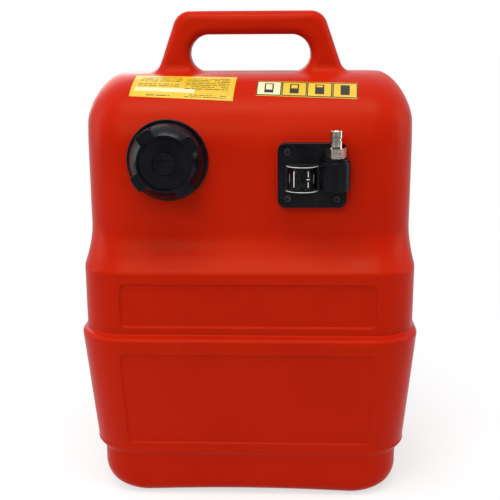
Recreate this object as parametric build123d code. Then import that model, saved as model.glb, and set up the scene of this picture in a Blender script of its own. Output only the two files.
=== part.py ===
from build123d import *
import os
from math import cos, hypot, radians, sin, sqrt

# A portable outboard fuel tank that stands on its foot: X to the right, Y to the back, Z up,
# millimetres. The floor is z = 0 and the handle lies in the plane y = 0.

# ---- tank body, from the floor up
wall = 3.5
ridge_half_width = 173.5
ridge_half_depth = 126.0
ridge_corner = 47.0
foot_height = 47.0
foot_side_step = 8.5         # the foot stands in from the lower box
foot_front_step = 2.0
foot_side_round = 28.0
foot_edge_round = 13.0
foot_corner = 34.0
lower_height = 125.5
lower_side_lean = 10.0       # the lower box narrows this much from the ridge to the foot
lower_front_lean = 11.0
lip_height = 5.0
lip_side_step = 4.0          # the belt stands in from the ridge
lip_front_step = 9.0
belt_height = 62.5
belt_corner = 44.0
ledge_height = 41.0
ledge_edge = 5.0             # rounded edge at the ledge's foot, below its slope
ledge_side_step = 3.5        # the upper face stands in from the belt
ledge_front_step = 25.0
face_height = 79.0
face_corner = 47.0
crown_rise = 72.0
crest_front = 8.0            # flat crest, ahead of and behind the handle's plane
crest_back = 33.0
crown_corner = 18.0
shoulder_reach = 29.0
shoulder_rise = 46.0
shoulder_fullness = 1.6      # 2 is an ellipse, 1 a flat bevel
seam_overlap = 5.0           # how far neighbouring stretches of the body run into each other

# ---- recessed panels and back pads
panel_depth = 1.0
panel_corner = 6.0
lower_panel_margin = 13.0    # above the foot and below the ridge
lower_panel_side = 39.5      # from the edge of the body to the panel
upper_panel_margin = 9.0
upper_panel_height = 44.0
upper_panel_half_width = 128.0
pad_half_width = 32.0
pad_half_height = 32.0
pad_corner = 12.0
pad_edge_round = 3.0
pad_spread = 98.0
pad_rise = 35.0              # pad centre above the ledge

# ---- handle
handle_height = 63.0
handle_depth = 33.0
handle_grip = 24.0
handle_top_half = 75.6
handle_foot_half = 98.3
handle_top_round = 18.0
handle_foot_round = 10.0
handle_edge_round = 11.0
handle_root = 26.0
handle_sink = 1.0
opening_half_length = 63.0

# ---- filler neck
filler_x = -79.0
filler_drop = 8.0            # filler axis below the start of the crown
seat_proud = 0.6
seat_radius = 36.0
neck_height = 17.5
neck_radius = 27.0
neck_bore = 23.0
thread_pitch = 5.0
thread_depth = 2.0
thread_width = 1.8
thread_play = 0.8
neck_thread_start = 4.5
neck_thread_turns = 2.0
cap_thread_turns = 1.4

# ---- filler cap
cap_gap = 0.5
cap_height = 27.4
cap_flange_radius = 40.5
cap_flange_thickness = 3.0
cap_body_radius = 37.0
cap_edge_round = 1.2
cap_skirt_height = 8.5       # upright skirt under the dome, from the seat
dome_shoulder_radius = 33.4
dome_shoulder_height = 20.0
dome_top_radius = 27.6
grip_width = 17.0
grip_turn = 36.0             # first grip, anticlockwise from the right
grip_corner = 3.0
dish_radius = 26.0
dish_depth = 3.2
dish_step_radius = 19.0
dish_step_depth = 0.6
gasket_width = 3.5
gasket_thickness = 1.8
seal_clearance = 0.3
liner_thickness = 1.7

# ---- vent in the cap
knob_radius = 11.3
knob_thickness = 1.4
knob_bar_width = 4.0
knob_bar_height = 1.2
vent_ring_radius = 13.5
vent_ring_wall = 1.5
vent_ring_height = 2.0
vent_boss_radius = 6.0
vent_boss_length = 8.0
vent_stem_radius = 2.5
vent_stem_flat = 0.6
vent_ring_seal_width = 2.0
vent_ring_seal_thickness = 1.2
vent_clip_width = 1.5
vent_clip_thickness = 0.8
vent_clip_gap = 1.4
vent_stem_end = 0.8
running_clearance = 0.05
snug_clearance = 0.02

# ---- sender: plate, gasket and screws
sender_x = 63.5
sender_drop = 22.5           # sender centre below the start of the crown
sender_pad_proud = 0.5
sender_pad_margin = 1.0
sender_gasket_thickness = 1.5
plate_width = 68.0
plate_height = 64.0
plate_thickness = 6.0
plate_corner = 8.0
plate_edge_round = 1.0
throat_width = 57.0
throat_height = 33.0
throat_corner = 8.0
throat_clearance = 0.6
throat_length = 14.0
screw_spacing_x = 48.5
screw_spacing_z = 46.0
screw_radius = 2.45
screw_length = 14.0
screw_head_radius = 4.2
screw_head_height = 2.4
screw_recess_depth = 3.2
screw_recess_clearance = 0.4
screw_socket_width = 2.4
screw_socket_depth = 1.5
washer_width = 1.8
washer_thickness = 0.6
insert_radius = 4.0
insert_length = 10.0
insert_boss_radius = 6.0
insert_boss_floor = 3.5

# ---- gauge: lens, drum, float
lens_offset_x = -10.0
lens_offset_z = -2.0
lens_axis_depth = 2.0        # drum axis behind the plate's front
lens_radius = 16.5
lens_wall = 2.0
lens_height = 25.0
lens_end_wall = 1.5
lens_flange_height = 28.0
lens_flange_thickness = 1.5
lens_flange_corner = 1.5
lens_gasket_thickness = 1.0
drum_clearance = 1.5
drum_end_clearance = 1.0
axle_radius = 1.5
axle_seat = 3.5              # depth of the axle's hole at each end
arm_radius = 1.25
arm_root_depth = 7.0
arm_root_angle = 30.0        # wire to the right of straight back, at the empty end
arm_crank = 28.0
arm_bend_radius = 8.0
arm_slot_half_width = 13.0
arm_slot_half_height = 3.2
float_back_gap = 9.4         # from the float to the back wall
float_angle = 10.0           # float to the left of straight back, at the empty end
float_radius = 15.0
float_length = 40.0
float_edge_round = 2.0
float_nut_radius = 3.2
float_nut_thickness = 1.0
float_socket_end = 3.0       # wire past the float's far side, under its push nut

# ---- outlet: elbow, pickup, nipple and its check valve
elbow_offset_x = 22.0
elbow_stand_off = 4.8        # elbow axis ahead of the plate's front
elbow_radius = 14.8
elbow_below = 13.0
elbow_above = 15.0
elbow_neck_radius = 12.8
nipple_stand_off = 10.2      # nipple axis ahead of the plate's front
elbow_neck_height = 3.0
elbow_edge_round = 0.8
gallery_radius = 3.2
riser_radius = 4.0
riser_sump = 2.0            # riser bore below the gallery
pickup_offset_x = 20.0
pickup_radius = 4.5
pickup_bore = 3.0
pickup_socket = 8.0
pickup_floor_gap = 15.0
strainer_radius = 8.0
strainer_length = 18.0
strainer_lap = 6.0
strainer_end_wall = 2.0
strainer_slot_width = 1.6
strainer_slot_count = 8
nipple_stem_radius = 5.2
nipple_stem_length = 11.5
nipple_washer_thickness = 1.2
nipple_washer_width = 2.0
hex_across_flats = 17.5
hex_height = 9.8
hex_chamfer = 0.7
plug_radius = 6.0
plug_length = 16.5
plug_groove_depth = 0.8
plug_groove_width = 2.0
plug_groove_height = 7.0
plug_chamfer = 0.6
nipple_bore = 4.2
nipple_tip_wall = 4.5
nipple_tip_hole = 2.4
poppet_clearance = 0.4
poppet_seat_gap = 0.2
poppet_head_height = 3.8
spring_height = 9.6
spring_wire = 0.35
spring_side_gap = 0.5
spring_turns = 5.0
retainer_height = 2.2
retainer_hole = 2.0

# ---- widths, depths, heights and planes that follow
base_half_width = ridge_half_width - lower_side_lean
base_half_depth = ridge_half_depth - lower_front_lean
foot_half_width = base_half_width - foot_side_step
foot_half_depth = base_half_depth - foot_front_step
belt_half_width = ridge_half_width - lip_side_step
belt_half_depth = ridge_half_depth - lip_front_step
face_half_width = belt_half_width - ledge_side_step
face_front = belt_half_depth - ledge_front_step    # ahead of the handle's plane
crown_front_reach = face_front - crest_front
crown_back_reach = belt_half_depth - crest_back
z_ridge = foot_height + lower_height
z_belt = z_ridge + lip_height
z_ledge = z_belt + belt_height
z_face = z_ledge + ledge_height
z_crown = z_face + face_height
z_crest = z_crown + crown_rise

seat_y = -(face_front + seat_proud)
filler_z = z_crown - filler_drop
cap_thread_start = neck_thread_start - thread_pitch / 2
cap_plane = Plane(origin=(filler_x, seat_y, filler_z), x_dir=(1, 0, 0), z_dir=(0, -1, 0))
cap_place = Location(cap_plane)
cap_root_radius = neck_radius + thread_depth + thread_play
gasket_bottom = neck_height + seal_clearance
liner_bottom = gasket_bottom + gasket_thickness
cap_ceiling = liner_bottom + liner_thickness + seal_clearance
dish_floor = cap_height - dish_depth

pad_y = -(face_front + sender_pad_proud)
plate_back_y = pad_y - sender_gasket_thickness
plate_front_y = plate_back_y - plate_thickness
sender_z = z_crown - sender_drop
screw_places = [
    (sender_x + side * screw_spacing_x / 2, sender_z + level * screw_spacing_z / 2)
    for side in (-1, 1)
    for level in (-1, 1)
]

lens_x = sender_x + lens_offset_x
lens_y = plate_front_y + lens_axis_depth
lens_z = sender_z + lens_offset_z
lens_bore = lens_radius - lens_wall
pocket_height = lens_height - 2 * lens_end_wall
drum_radius = lens_bore - drum_clearance
drum_height = pocket_height - 2 * drum_end_clearance
float_y = belt_half_depth - wall - float_back_gap - float_radius
float_reach = (float_y - lens_y) / cos(radians(float_angle))

elbow_x = sender_x + elbow_offset_x
elbow_y = plate_front_y - elbow_stand_off
nipple_y = plate_front_y - nipple_stand_off
screw_seat_y = plate_front_y + screw_recess_depth
elbow_top = sender_z + elbow_above + elbow_neck_height
pickup_x = sender_x + pickup_offset_x
hex_bottom = elbow_top + nipple_washer_thickness
plug_bottom = hex_bottom + hex_height
plug_top = plug_bottom + plug_length
poppet_top = plug_top - nipple_tip_wall - poppet_seat_gap
spring_top = poppet_top - poppet_head_height - poppet_seat_gap
retainer_top = spring_top - spring_height - poppet_seat_gap


# ---- simple solids along an axis
def rod_z(radius, bottom, top, x=0, y=0):
    """Cylinder along Z between two heights."""
    return Pos(x, y, (bottom + top) / 2) * Cylinder(radius, top - bottom)


def rod_y(radius, front, back, x, z):
    """Cylinder along Y between two depths."""
    return Pos(x, (front + back) / 2, z) * Rot(90, 0, 0) * Cylinder(radius, back - front)


def block(x_span, y_span, z_span):
    """Box between the two values of each span."""
    size = [high - low for low, high in (x_span, y_span, z_span)]
    centre = [(low + high) / 2 for low, high in (x_span, y_span, z_span)]
    return Pos(*centre) * Box(*size)


def slab_y(width, height, corner, front, back, x, z):
    """Rounded plate that faces the front, between two depths."""
    face = Pos(x, back, z) * Rot(90, 0, 0) * RectangleRounded(width, height, corner)
    return extrude(face, back - front, dir=(0, -1, 0))


def helical_ridge(start_radius, crest_radius, start_height, turns):
    """Trapezoid thread ridge about Z that stands from one radius to the other."""
    path = Helix(thread_pitch, thread_pitch * turns, start_radius)
    rise = crest_radius - start_radius
    tip = thread_width * 0.3
    profile = Polygon(
        (0, -thread_width / 2), (rise, -tip), (rise, tip), (0, thread_width / 2), align=None
    )
    place = Plane(origin=path @ 0, x_dir=(1, 0, 0), z_dir=path % 0)
    return Pos(0, 0, start_height) * sweep(place * profile, path=path, is_frenet=True)


# ---- tank body, outside (inset 0) or cavity (inset = wall)
def ring(height, half_width, front, back, corner):
    """Rounded rectangle at a height, from y = -front to y = back."""
    plan = RectangleRounded(2 * half_width, front + back, corner)
    return Pos(0, (back - front) / 2, height) * plan


def foot_stretch(inset):
    """Foot: rounded lower edge, then a straight stretch up into the lower box."""
    rings = []
    for angle in range(0, 91, 15):
        height = foot_side_round - (foot_side_round - inset) * cos(radians(angle))
        half_width = foot_half_width - foot_side_round + (foot_side_round - inset) * sin(radians(angle))
        drop = max(foot_edge_round - height, 0)
        reach = sqrt(max((foot_edge_round - inset) ** 2 - drop**2, 0))
        half_depth = foot_half_depth - foot_edge_round + reach
        rings.append(ring(height, half_width, half_depth, half_depth, foot_corner - inset))
    top = foot_height + inset + seam_overlap
    last = ring(
        top, foot_half_width - inset, foot_half_depth - inset, foot_half_depth - inset, foot_corner - inset
    )
    return loft(rings) + loft([rings[-1], last], ruled=True)


def lower_stretch(inset):
    """Lower box, which widens to the ridge, and the rounded lip above it."""
    base = ring(
        foot_height + inset,
        base_half_width - inset,
        base_half_depth - inset,
        base_half_depth - inset,
        ridge_corner - inset,
    )
    lip = []
    for angle in range(0, 91, 18):
        fall = 1 - cos(radians(angle))
        height = z_ridge + (lip_height - inset) * sin(radians(angle))
        half_width = ridge_half_width - inset - lip_side_step * fall
        half_depth = ridge_half_depth - inset - lip_front_step * fall
        corner = ridge_corner - inset - (ridge_corner - belt_corner) * fall
        lip.append(ring(height, half_width, half_depth, half_depth, corner))
    return loft([base, lip[0]], ruled=True) + loft(lip)


def belt_stretch(inset):
    """Upright belt above the ridge, from inside the lip to the ledge."""
    sides = (belt_half_width - inset, belt_half_depth - inset, belt_half_depth - inset, belt_corner - inset)
    return loft([ring(z_ridge, *sides), ring(z_ledge, *sides)], ruled=True)


def ledge_blend(rise):
    """Share of the step back at a height above the belt: a rounded edge, then a hollow that eases off."""
    if rise < ledge_edge:
        return rise**2 / (ledge_edge * ledge_height)
    return 1 - (ledge_height - rise) ** 2 / (ledge_height * (ledge_height - ledge_edge))


def ledge_stretch(inset):
    """Ledge: the step back to the upper front face."""
    hollow = ledge_height - ledge_edge
    rings = []
    for rise in [0, ledge_edge / 2] + [ledge_edge + hollow * step / 6 for step in range(7)]:
        blend = ledge_blend(rise)
        rings.append(
            ring(
                z_ledge + rise,
                belt_half_width + (face_half_width - belt_half_width) * blend - inset,
                belt_half_depth + (face_front - belt_half_depth) * blend - inset,
                belt_half_depth - inset,
                belt_corner + (face_corner - belt_corner) * blend - inset,
            )
        )
    return loft(rings)


def face_stretch(inset):
    """Upright upper part that carries the filler and the sender."""
    sides = (face_half_width - inset, face_front - inset, belt_half_depth - inset, face_corner - inset)
    return loft([ring(z_face, *sides), ring(z_crown, *sides)], ruled=True)


def crown_stretch(inset):
    """Rounded top: quarter ellipses to the front and the back, and fuller curves to both shoulders."""
    z_shoulder = z_crest - shoulder_rise
    rings = []
    for angle in (0, 12, 24, 36, 48, 60, 72, 82, 90):
        out = cos(radians(angle))
        height = z_crown + (crown_rise - inset) * sin(radians(angle))
        climb = max(height - z_shoulder, 0) / (shoulder_rise - inset)
        left = max(1 - climb**shoulder_fullness, 0)
        round_off = (shoulder_reach - inset) * left ** (1 / shoulder_fullness)
        rings.append(
            ring(
                height,
                face_half_width - shoulder_reach + round_off,
                face_front - crown_front_reach + (crown_front_reach - inset) * out,
                belt_half_depth - crown_back_reach + (crown_back_reach - inset) * out,
                crown_corner + (face_corner - crown_corner) * out - inset,
            )
        )
    return loft(rings)


def body_solid(inset):
    """Whole body at one inset."""
    return (
        foot_stretch(inset)
        + lower_stretch(inset)
        + belt_stretch(inset)
        + ledge_stretch(inset)
        + face_stretch(inset)
        + crown_stretch(inset)
    )


def handle_solid(inset):
    """Handle with a flared root and a round-ended opening, at one inset."""
    floor = z_crest - handle_sink
    top = z_crest + handle_height
    skirt = handle_foot_half + 2 * handle_foot_round
    outline = Polygon(
        (-skirt, floor - handle_root),
        (skirt, floor - handle_root),
        (skirt, floor),
        (handle_foot_half, floor),
        (handle_top_half, top),
        (-handle_top_half, top),
        (-handle_foot_half, floor),
        (-skirt, floor),
        align=None,
    )
    corners = outline.vertices().sort_by(Axis.Y)
    outline = fillet(corners[-2:], handle_top_round)
    flares = [v for v in outline.vertices() if abs(abs(v.X) - handle_foot_half) < 0.01]
    outline = fillet(flares, handle_foot_round)
    opening_height = handle_height - handle_grip + handle_sink
    opening = Pos(0, floor + opening_height / 2) * SlotOverall(2 * opening_half_length, opening_height)
    if inset > 0:
        outline = offset(outline, -inset)
        opening = offset(opening, inset)
    grip = extrude(Plane.XZ * (outline - opening), handle_depth / 2 - inset, both=True)
    sides = grip.faces().filter_by(Axis.Y)
    return fillet(sides.edges(), handle_edge_round - inset)


def lower_panel():
    """Shallow recess in the front of the lower box, which leans with it."""
    rise = lower_height
    middle = Plane(
        origin=(0, -(base_half_depth + ridge_half_depth) / 2, foot_height + rise / 2),
        x_dir=(1, 0, 0),
        z_dir=(0, -rise, -lower_front_lean),
    )
    half_height = rise / 2 - lower_panel_margin
    low_half = base_half_width - lower_panel_side
    high_half = ridge_half_width - lower_panel_side - lower_side_lean / 2
    outline = Polygon(
        (-low_half, -half_height),
        (low_half, -half_height),
        (high_half, half_height),
        (-high_half, half_height),
        align=None,
    )
    outline = fillet(outline.vertices(), panel_corner)
    return extrude(middle * outline, panel_depth, both=True)


def upper_panel():
    """Shallow recess in the front of the belt."""
    return slab_y(
        2 * upper_panel_half_width,
        upper_panel_height,
        panel_corner,
        -belt_half_depth - panel_depth,
        -belt_half_depth + panel_depth,
        0,
        z_belt + upper_panel_margin + upper_panel_height / 2,
    )


def back_pad(x):
    """Raised pad on the back, level with the ridge, with a rounded rim."""
    pad = slab_y(
        2 * pad_half_width,
        2 * pad_half_height,
        pad_corner,
        belt_half_depth - wall / 2,
        ridge_half_depth,
        x,
        z_ledge + pad_rise,
    )
    rim = pad.edges().filter_by(lambda e: abs(e.center().Y - ridge_half_depth) < 0.01)
    return fillet(rim, pad_edge_round)


def neck():
    """Threaded filler neck on its flat seat, in the cap's frame."""
    tube = rod_z(neck_radius, -2 * crown_corner, neck_height)
    seat = rod_z(seat_radius, -2 * crown_corner, 0)
    ridge = helical_ridge(
        neck_radius - thread_play / 2, neck_radius + thread_depth, neck_thread_start, neck_thread_turns
    )
    return seat + tube + ridge


def throat_block(margin, front, back):
    """Rounded block behind the sender plate, wider than the throat by a margin all round."""
    return slab_y(
        throat_width + 2 * margin,
        throat_height + 2 * margin,
        throat_corner + margin,
        front,
        back,
        sender_x,
        sender_z,
    )


def make_tank_shell():
    """Blow-moulded shell, hollow through the handle, with neck, pads and insert bosses."""
    pad = slab_y(
        plate_width + 2 * sender_pad_margin,
        plate_height + 2 * sender_pad_margin,
        plate_corner + sender_pad_margin,
        pad_y,
        pad_y + 2 * crown_corner,
        sender_x,
        sender_z,
    )
    shell = body_solid(0) + handle_solid(0) + cap_place * neck() + pad
    shell += back_pad(-pad_spread) + back_pad(pad_spread)
    shell -= body_solid(wall) + handle_solid(wall)
    shell -= lower_panel() + upper_panel()
    shell -= cap_place * rod_z(neck_bore, -3 * crown_corner, neck_height + 1)
    insert_back = pad_y + insert_length
    for x, z in screw_places:
        shell += rod_y(insert_boss_radius, pad_y + wall / 2, insert_back + insert_boss_floor, x, z)
        shell -= rod_y(insert_radius, pad_y - 1, insert_back, x, z)
    return shell - throat_block(throat_clearance, pad_y - 1, insert_back + insert_boss_floor)


def make_inserts():
    """Threaded inserts, one in each boss."""
    front = pad_y
    back = pad_y + insert_length
    bore = screw_radius + running_clearance
    outer = insert_radius - snug_clearance
    return Compound(
        children=[
            rod_y(outer, front, back, x, z) - rod_y(bore, front - 1, back + 1, x, z)
            for x, z in screw_places
        ]
    )


# ---- filler cap, in its own frame: Z along the axis, outwards, from the seat
def cap_dome():
    """Round body between the grips: upright skirt, then a dome up to the front face."""
    skirt_top = (cap_body_radius, cap_skirt_height)
    shoulder = (dome_shoulder_radius, dome_shoulder_height)
    front = (dome_top_radius, cap_height)
    outline = Polyline((0, cap_height), (0, cap_gap), (cap_body_radius, cap_gap), skirt_top)
    outline += ThreePointArc(skirt_top, shoulder, front) + Line(front, (0, cap_height))
    return revolve(Plane.XZ * make_face(outline.edges()), Axis.Z)


def outside_dish(edge):
    """Whether an edge lies further from the cap's axis than the dish does."""
    middle = edge.center()
    return hypot(middle.X, middle.Y) > dish_radius


def cap_grips():
    """Cross of two bars, cut round, whose ends are the four grips."""
    reach = 1.5 * cap_body_radius
    half_width = grip_width / 2
    bar = block((-reach, reach), (-half_width, half_width), (cap_gap, cap_height))
    grips = Rot(0, 0, grip_turn) * bar + Rot(0, 0, grip_turn + 90) * bar
    grips = grips & rod_z(cap_body_radius, cap_gap, cap_height)
    upright = grips.edges().filter_by(Axis.Z)
    grips = fillet(upright.filter_by(outside_dish), grip_corner)
    rims = grips.edges().filter_by(lambda e: abs(e.center().Z - cap_height) < 0.01)
    return fillet(rims.filter_by(outside_dish), cap_edge_round)


def make_cap_shell():
    """Cap with a round flange, a dome with four grips, a dished front and an inside thread."""
    bottom = cap_gap
    flange_top = bottom + cap_flange_thickness
    flange = fillet(rod_z(cap_flange_radius, bottom, flange_top).edges(), cap_edge_round)
    cap = flange + cap_dome() + cap_grips()
    cap -= rod_z(dish_radius, dish_floor, cap_height + 1)
    cap -= rod_z(dish_step_radius, dish_floor - dish_step_depth, cap_height + 1)
    step_floor = dish_floor - dish_step_depth
    cap += rod_z(vent_ring_radius, step_floor, step_floor + vent_ring_height)
    cap -= rod_z(vent_ring_radius - vent_ring_wall, step_floor, cap_height + 1)
    cap -= rod_z(cap_root_radius, bottom - 1, cap_ceiling)
    cap += rod_z(vent_boss_radius, cap_ceiling - vent_boss_length, step_floor)
    cap += helical_ridge(
        cap_root_radius + thread_play / 2,
        neck_radius + thread_play,
        cap_thread_start,
        cap_thread_turns,
    )
    return cap - rod_z(vent_stem_radius + running_clearance, 0, cap_height + 1)


def make_cap_gasket():
    """Flat ring that seals the cap on the neck's rim."""
    middle = (neck_radius + neck_bore) / 2
    outer = rod_z(middle + gasket_width / 2, gasket_bottom, liner_bottom)
    return outer - rod_z(middle - gasket_width / 2, gasket_bottom - 1, liner_bottom + 1)


def make_cap_liner():
    """Disc between the gasket and the cap, which doesn't turn with the cap."""
    top = liner_bottom + liner_thickness
    disc = rod_z(neck_radius + seal_clearance, liner_bottom, top)
    return disc - rod_z(vent_boss_radius + seal_clearance, liner_bottom - 1, top + 1)


vent_seat = dish_floor - dish_step_depth
vent_head_bottom = vent_seat + vent_ring_seal_thickness
vent_boss_end = cap_ceiling - vent_boss_length
vent_clip_top = vent_boss_end - vent_clip_gap
vent_clip_bottom = vent_clip_top - vent_clip_thickness
vent_stem_tip = vent_clip_bottom - vent_stem_end


def make_vent_knob():
    """Vent screw: round head with a grip bar, and a stem with a flat for the air."""
    head_top = vent_head_bottom + knob_thickness
    head = rod_z(knob_radius, vent_head_bottom, head_top)
    bar = block(
        (-knob_radius + 1, knob_radius - 1),
        (-knob_bar_width / 2, knob_bar_width / 2),
        (vent_head_bottom, head_top + knob_bar_height),
    )
    stem = rod_z(vent_stem_radius, vent_stem_tip, vent_head_bottom)
    flat = block(
        (vent_stem_radius - vent_stem_flat, vent_stem_radius + 1),
        (-vent_stem_radius, vent_stem_radius),
        (vent_stem_tip, vent_head_bottom),
    )
    groove = rod_z(vent_stem_radius + 1, vent_clip_bottom, vent_clip_top)
    groove -= rod_z(vent_stem_radius - vent_clip_width / 2, vent_clip_bottom, vent_clip_top)
    return head + bar + (stem - flat - groove)


def make_vent_o_ring():
    """Seal under the vent screw's head."""
    thickness = vent_ring_seal_thickness
    inner = vent_stem_radius + running_clearance
    middle = inner + vent_ring_seal_width
    square = rod_z(middle, vent_seat, vent_seat + thickness)
    return fillet(square.edges(), thickness * 0.35) - rod_z(inner, vent_seat - 1, vent_seat + thickness + 1)


def make_vent_clip():
    """Open clip in the stem's groove, which keeps the vent screw in the cap."""
    inner = vent_stem_radius - vent_clip_width / 2 + snug_clearance
    outer = vent_stem_radius + vent_clip_width
    clip = rod_z(outer, vent_clip_bottom, vent_clip_top) - rod_z(inner, vent_clip_bottom, vent_clip_top)
    mouth = block((-inner * 0.8, inner * 0.8), (-outer - 1, 0), (vent_clip_bottom, vent_clip_top))
    return clip - mouth


# ---- sender
def elbow_solid():
    """Round outlet housing on the plate, with a stepped top."""
    tall = rod_z(elbow_radius, sender_z - elbow_below, sender_z + elbow_above, elbow_x, elbow_y)
    tall = fillet(tall.edges().filter_by(GeomType.CIRCLE), elbow_edge_round)
    step = rod_z(elbow_neck_radius, sender_z, elbow_top, elbow_x, elbow_y)
    step = fillet(step.edges().group_by(Axis.Z)[-1], elbow_edge_round)
    side = 2 * elbow_radius
    ahead = block(
        (elbow_x - side, elbow_x + side),
        (elbow_y - side, plate_front_y + plate_thickness / 2),
        (sender_z - side, elbow_top),
    )
    return (tall + step) & ahead


def make_gauge_body():
    """Black plate with throat, drum pocket, elbow and outlet gallery."""
    plate = slab_y(plate_width, plate_height, plate_corner, plate_front_y, plate_back_y, sender_x, sender_z)
    front_edges = plate.edges().filter_by(lambda e: abs(e.center().Y - plate_front_y) < 0.01)
    plate = fillet(front_edges, plate_edge_round)
    throat_back = plate_back_y + throat_length
    body = plate + elbow_solid()
    body += throat_block(0, plate_back_y, throat_back)
    half_pocket = pocket_height / 2
    body -= rod_z(lens_bore, lens_z - half_pocket, lens_z + half_pocket, lens_x, lens_y)
    body -= block(
        (lens_x - arm_slot_half_width, lens_x + arm_slot_half_width),
        (lens_y, throat_back + 1),
        (lens_z - arm_slot_half_height, lens_z + arm_slot_half_height),
    )
    seat = half_pocket + axle_seat
    body -= rod_z(axle_radius + snug_clearance, lens_z - seat, lens_z + seat, lens_x, lens_y)
    for x, z in screw_places:
        body -= rod_y(screw_radius + running_clearance, plate_front_y - 1, plate_back_y + 1, x, z)
        body -= rod_y(screw_head_radius + screw_recess_clearance, plate_front_y - 1, screw_seat_y, x, z)
    stem_hole = nipple_stem_radius + running_clearance
    body -= rod_z(stem_hole, hex_bottom - nipple_stem_length - 1, elbow_top + 1, elbow_x, nipple_y)
    body -= rod_z(riser_radius, sender_z - gallery_radius - riser_sump, elbow_top, elbow_x, nipple_y)
    body -= rod_y(gallery_radius, nipple_y, throat_back, pickup_x, sender_z)
    socket_front = throat_back - pickup_socket
    return body - rod_y(pickup_radius + snug_clearance, socket_front, throat_back + 1, pickup_x, sender_z)


def make_sender_gasket():
    """Flat gasket between the plate and the tank."""
    sheet = slab_y(plate_width, plate_height, plate_corner, plate_back_y, pad_y, sender_x, sender_z)
    sheet -= throat_block(throat_clearance, plate_back_y - 1, pad_y + 1)
    for x, z in screw_places:
        sheet -= rod_y(screw_radius + running_clearance, plate_back_y - 1, pad_y + 1, x, z)
    return sheet


def make_washers():
    """Sealing washers under the screw heads."""
    front = screw_seat_y - washer_thickness
    bore = screw_radius + running_clearance
    return Compound(
        children=[
            rod_y(screw_radius + washer_width, front, screw_seat_y, x, z)
            - rod_y(bore, front - 1, screw_seat_y + 1, x, z)
            for x, z in screw_places
        ]
    )


def sender_screw(x, z):
    """Pan-head screw with a square socket."""
    seat = screw_seat_y - washer_thickness
    head = rod_y(screw_head_radius, seat - screw_head_height, seat, x, z)
    front_edge = head.edges().sort_by(Axis.Y)[0]
    head = fillet(front_edge, screw_head_height * 0.35)
    half = screw_socket_width / 2
    socket_back = seat - screw_head_height + screw_socket_depth
    socket = block((x - half, x + half), (seat - 2 * screw_head_height, socket_back), (z - half, z + half))
    return head - socket + rod_y(screw_radius, seat, seat + screw_length, x, z)


def make_screws():
    """Four sender screws."""
    return Compound(children=[sender_screw(x, z) for x, z in screw_places])


def half_drum(radius, height):
    """Front half of an upright cylinder about the drum axis."""
    full = rod_z(radius, lens_z - height / 2, lens_z + height / 2, lens_x, lens_y)
    front = plate_front_y - lens_gasket_thickness
    ahead = block(
        (lens_x - radius, lens_x + radius),
        (lens_y - radius, front),
        (lens_z - height / 2, lens_z + height / 2),
    )
    return full & ahead


def make_lens():
    """Clear half-cylinder window on a thin flange."""
    back = plate_front_y - lens_gasket_thickness
    flange = slab_y(
        2 * lens_radius,
        lens_flange_height,
        lens_flange_corner,
        back - lens_flange_thickness,
        back,
        lens_x,
        lens_z,
    )
    window = flange + half_drum(lens_radius, lens_height)
    half_pocket = pocket_height / 2
    return window - rod_z(lens_bore, lens_z - half_pocket, lens_z + half_pocket, lens_x, lens_y)


def make_lens_gasket():
    """Thin seal under the lens flange."""
    front = plate_front_y - lens_gasket_thickness
    sheet = slab_y(
        2 * lens_radius, lens_flange_height, lens_flange_corner, front, plate_front_y, lens_x, lens_z
    )
    half_pocket = pocket_height / 2
    return sheet - rod_z(lens_bore, lens_z - half_pocket, lens_z + half_pocket, lens_x, lens_y)


def arm_direction(angle):
    """Unit vector from the drum axis, turned left from straight back by an angle in degrees."""
    return Vector(-sin(radians(angle)), cos(radians(angle)), 0)


drum_axis_point = Vector(lens_x, lens_y, lens_z)
arm_start = drum_axis_point + arm_direction(-arm_root_angle) * (drum_radius - arm_root_depth)
arm_knee = drum_axis_point + arm_direction(-arm_root_angle) * arm_crank
float_centre = drum_axis_point + arm_direction(float_angle) * float_reach
arm_run = (float_centre - arm_knee).normalized()
arm_end = float_centre + arm_run * (float_radius + float_socket_end)


def arm_wire(radius):
    """Round wire from the drum, bent once, straight through the float."""
    path = FilletPolyline(arm_start, arm_knee, arm_end, radius=arm_bend_radius)
    place = Plane(origin=path @ 0, z_dir=path % 0)
    return sweep(place * Circle(radius), path=path)


def make_drum():
    """Indicator drum that turns with the float arm."""
    half = drum_height / 2
    drum = rod_z(drum_radius, lens_z - half, lens_z + half, lens_x, lens_y)
    drum -= rod_z(axle_radius + running_clearance, lens_z - half - 1, lens_z + half + 1, lens_x, lens_y)
    return drum - arm_wire(arm_radius + snug_clearance)


def make_axle():
    """Steel pin that carries the drum."""
    half = pocket_height / 2 + axle_seat - 2 * running_clearance
    return rod_z(axle_radius, lens_z - half, lens_z + half, lens_x, lens_y)


def make_float():
    """Upright round float, bored for the wire."""
    half = float_length / 2
    body = rod_z(float_radius, lens_z - half, lens_z + half, float_centre.X, float_centre.Y)
    body = fillet(body.edges().filter_by(GeomType.CIRCLE), float_edge_round)
    return body - arm_wire(arm_radius + snug_clearance)


def make_float_nut():
    """Push nut on the wire, past the float."""
    place = Plane(origin=float_centre + arm_run * (float_radius + seal_clearance), z_dir=arm_run)
    disc = Cylinder(float_nut_radius, float_nut_thickness, align=(Align.CENTER, Align.CENTER, Align.MIN))
    hole = Cylinder(arm_radius + snug_clearance, 3 * float_nut_thickness)
    return Location(place) * (disc - hole)


# ---- outlet
pickup_front = plate_back_y + throat_length - pickup_socket
pickup_back = belt_half_depth - wall - pickup_floor_gap


def make_pickup_tube():
    """Straight tube from the sender to just short of the back wall."""
    outer = rod_y(pickup_radius, pickup_front, pickup_back, pickup_x, sender_z)
    return outer - rod_y(pickup_bore, pickup_front - 1, pickup_back + 1, pickup_x, sender_z)


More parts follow.
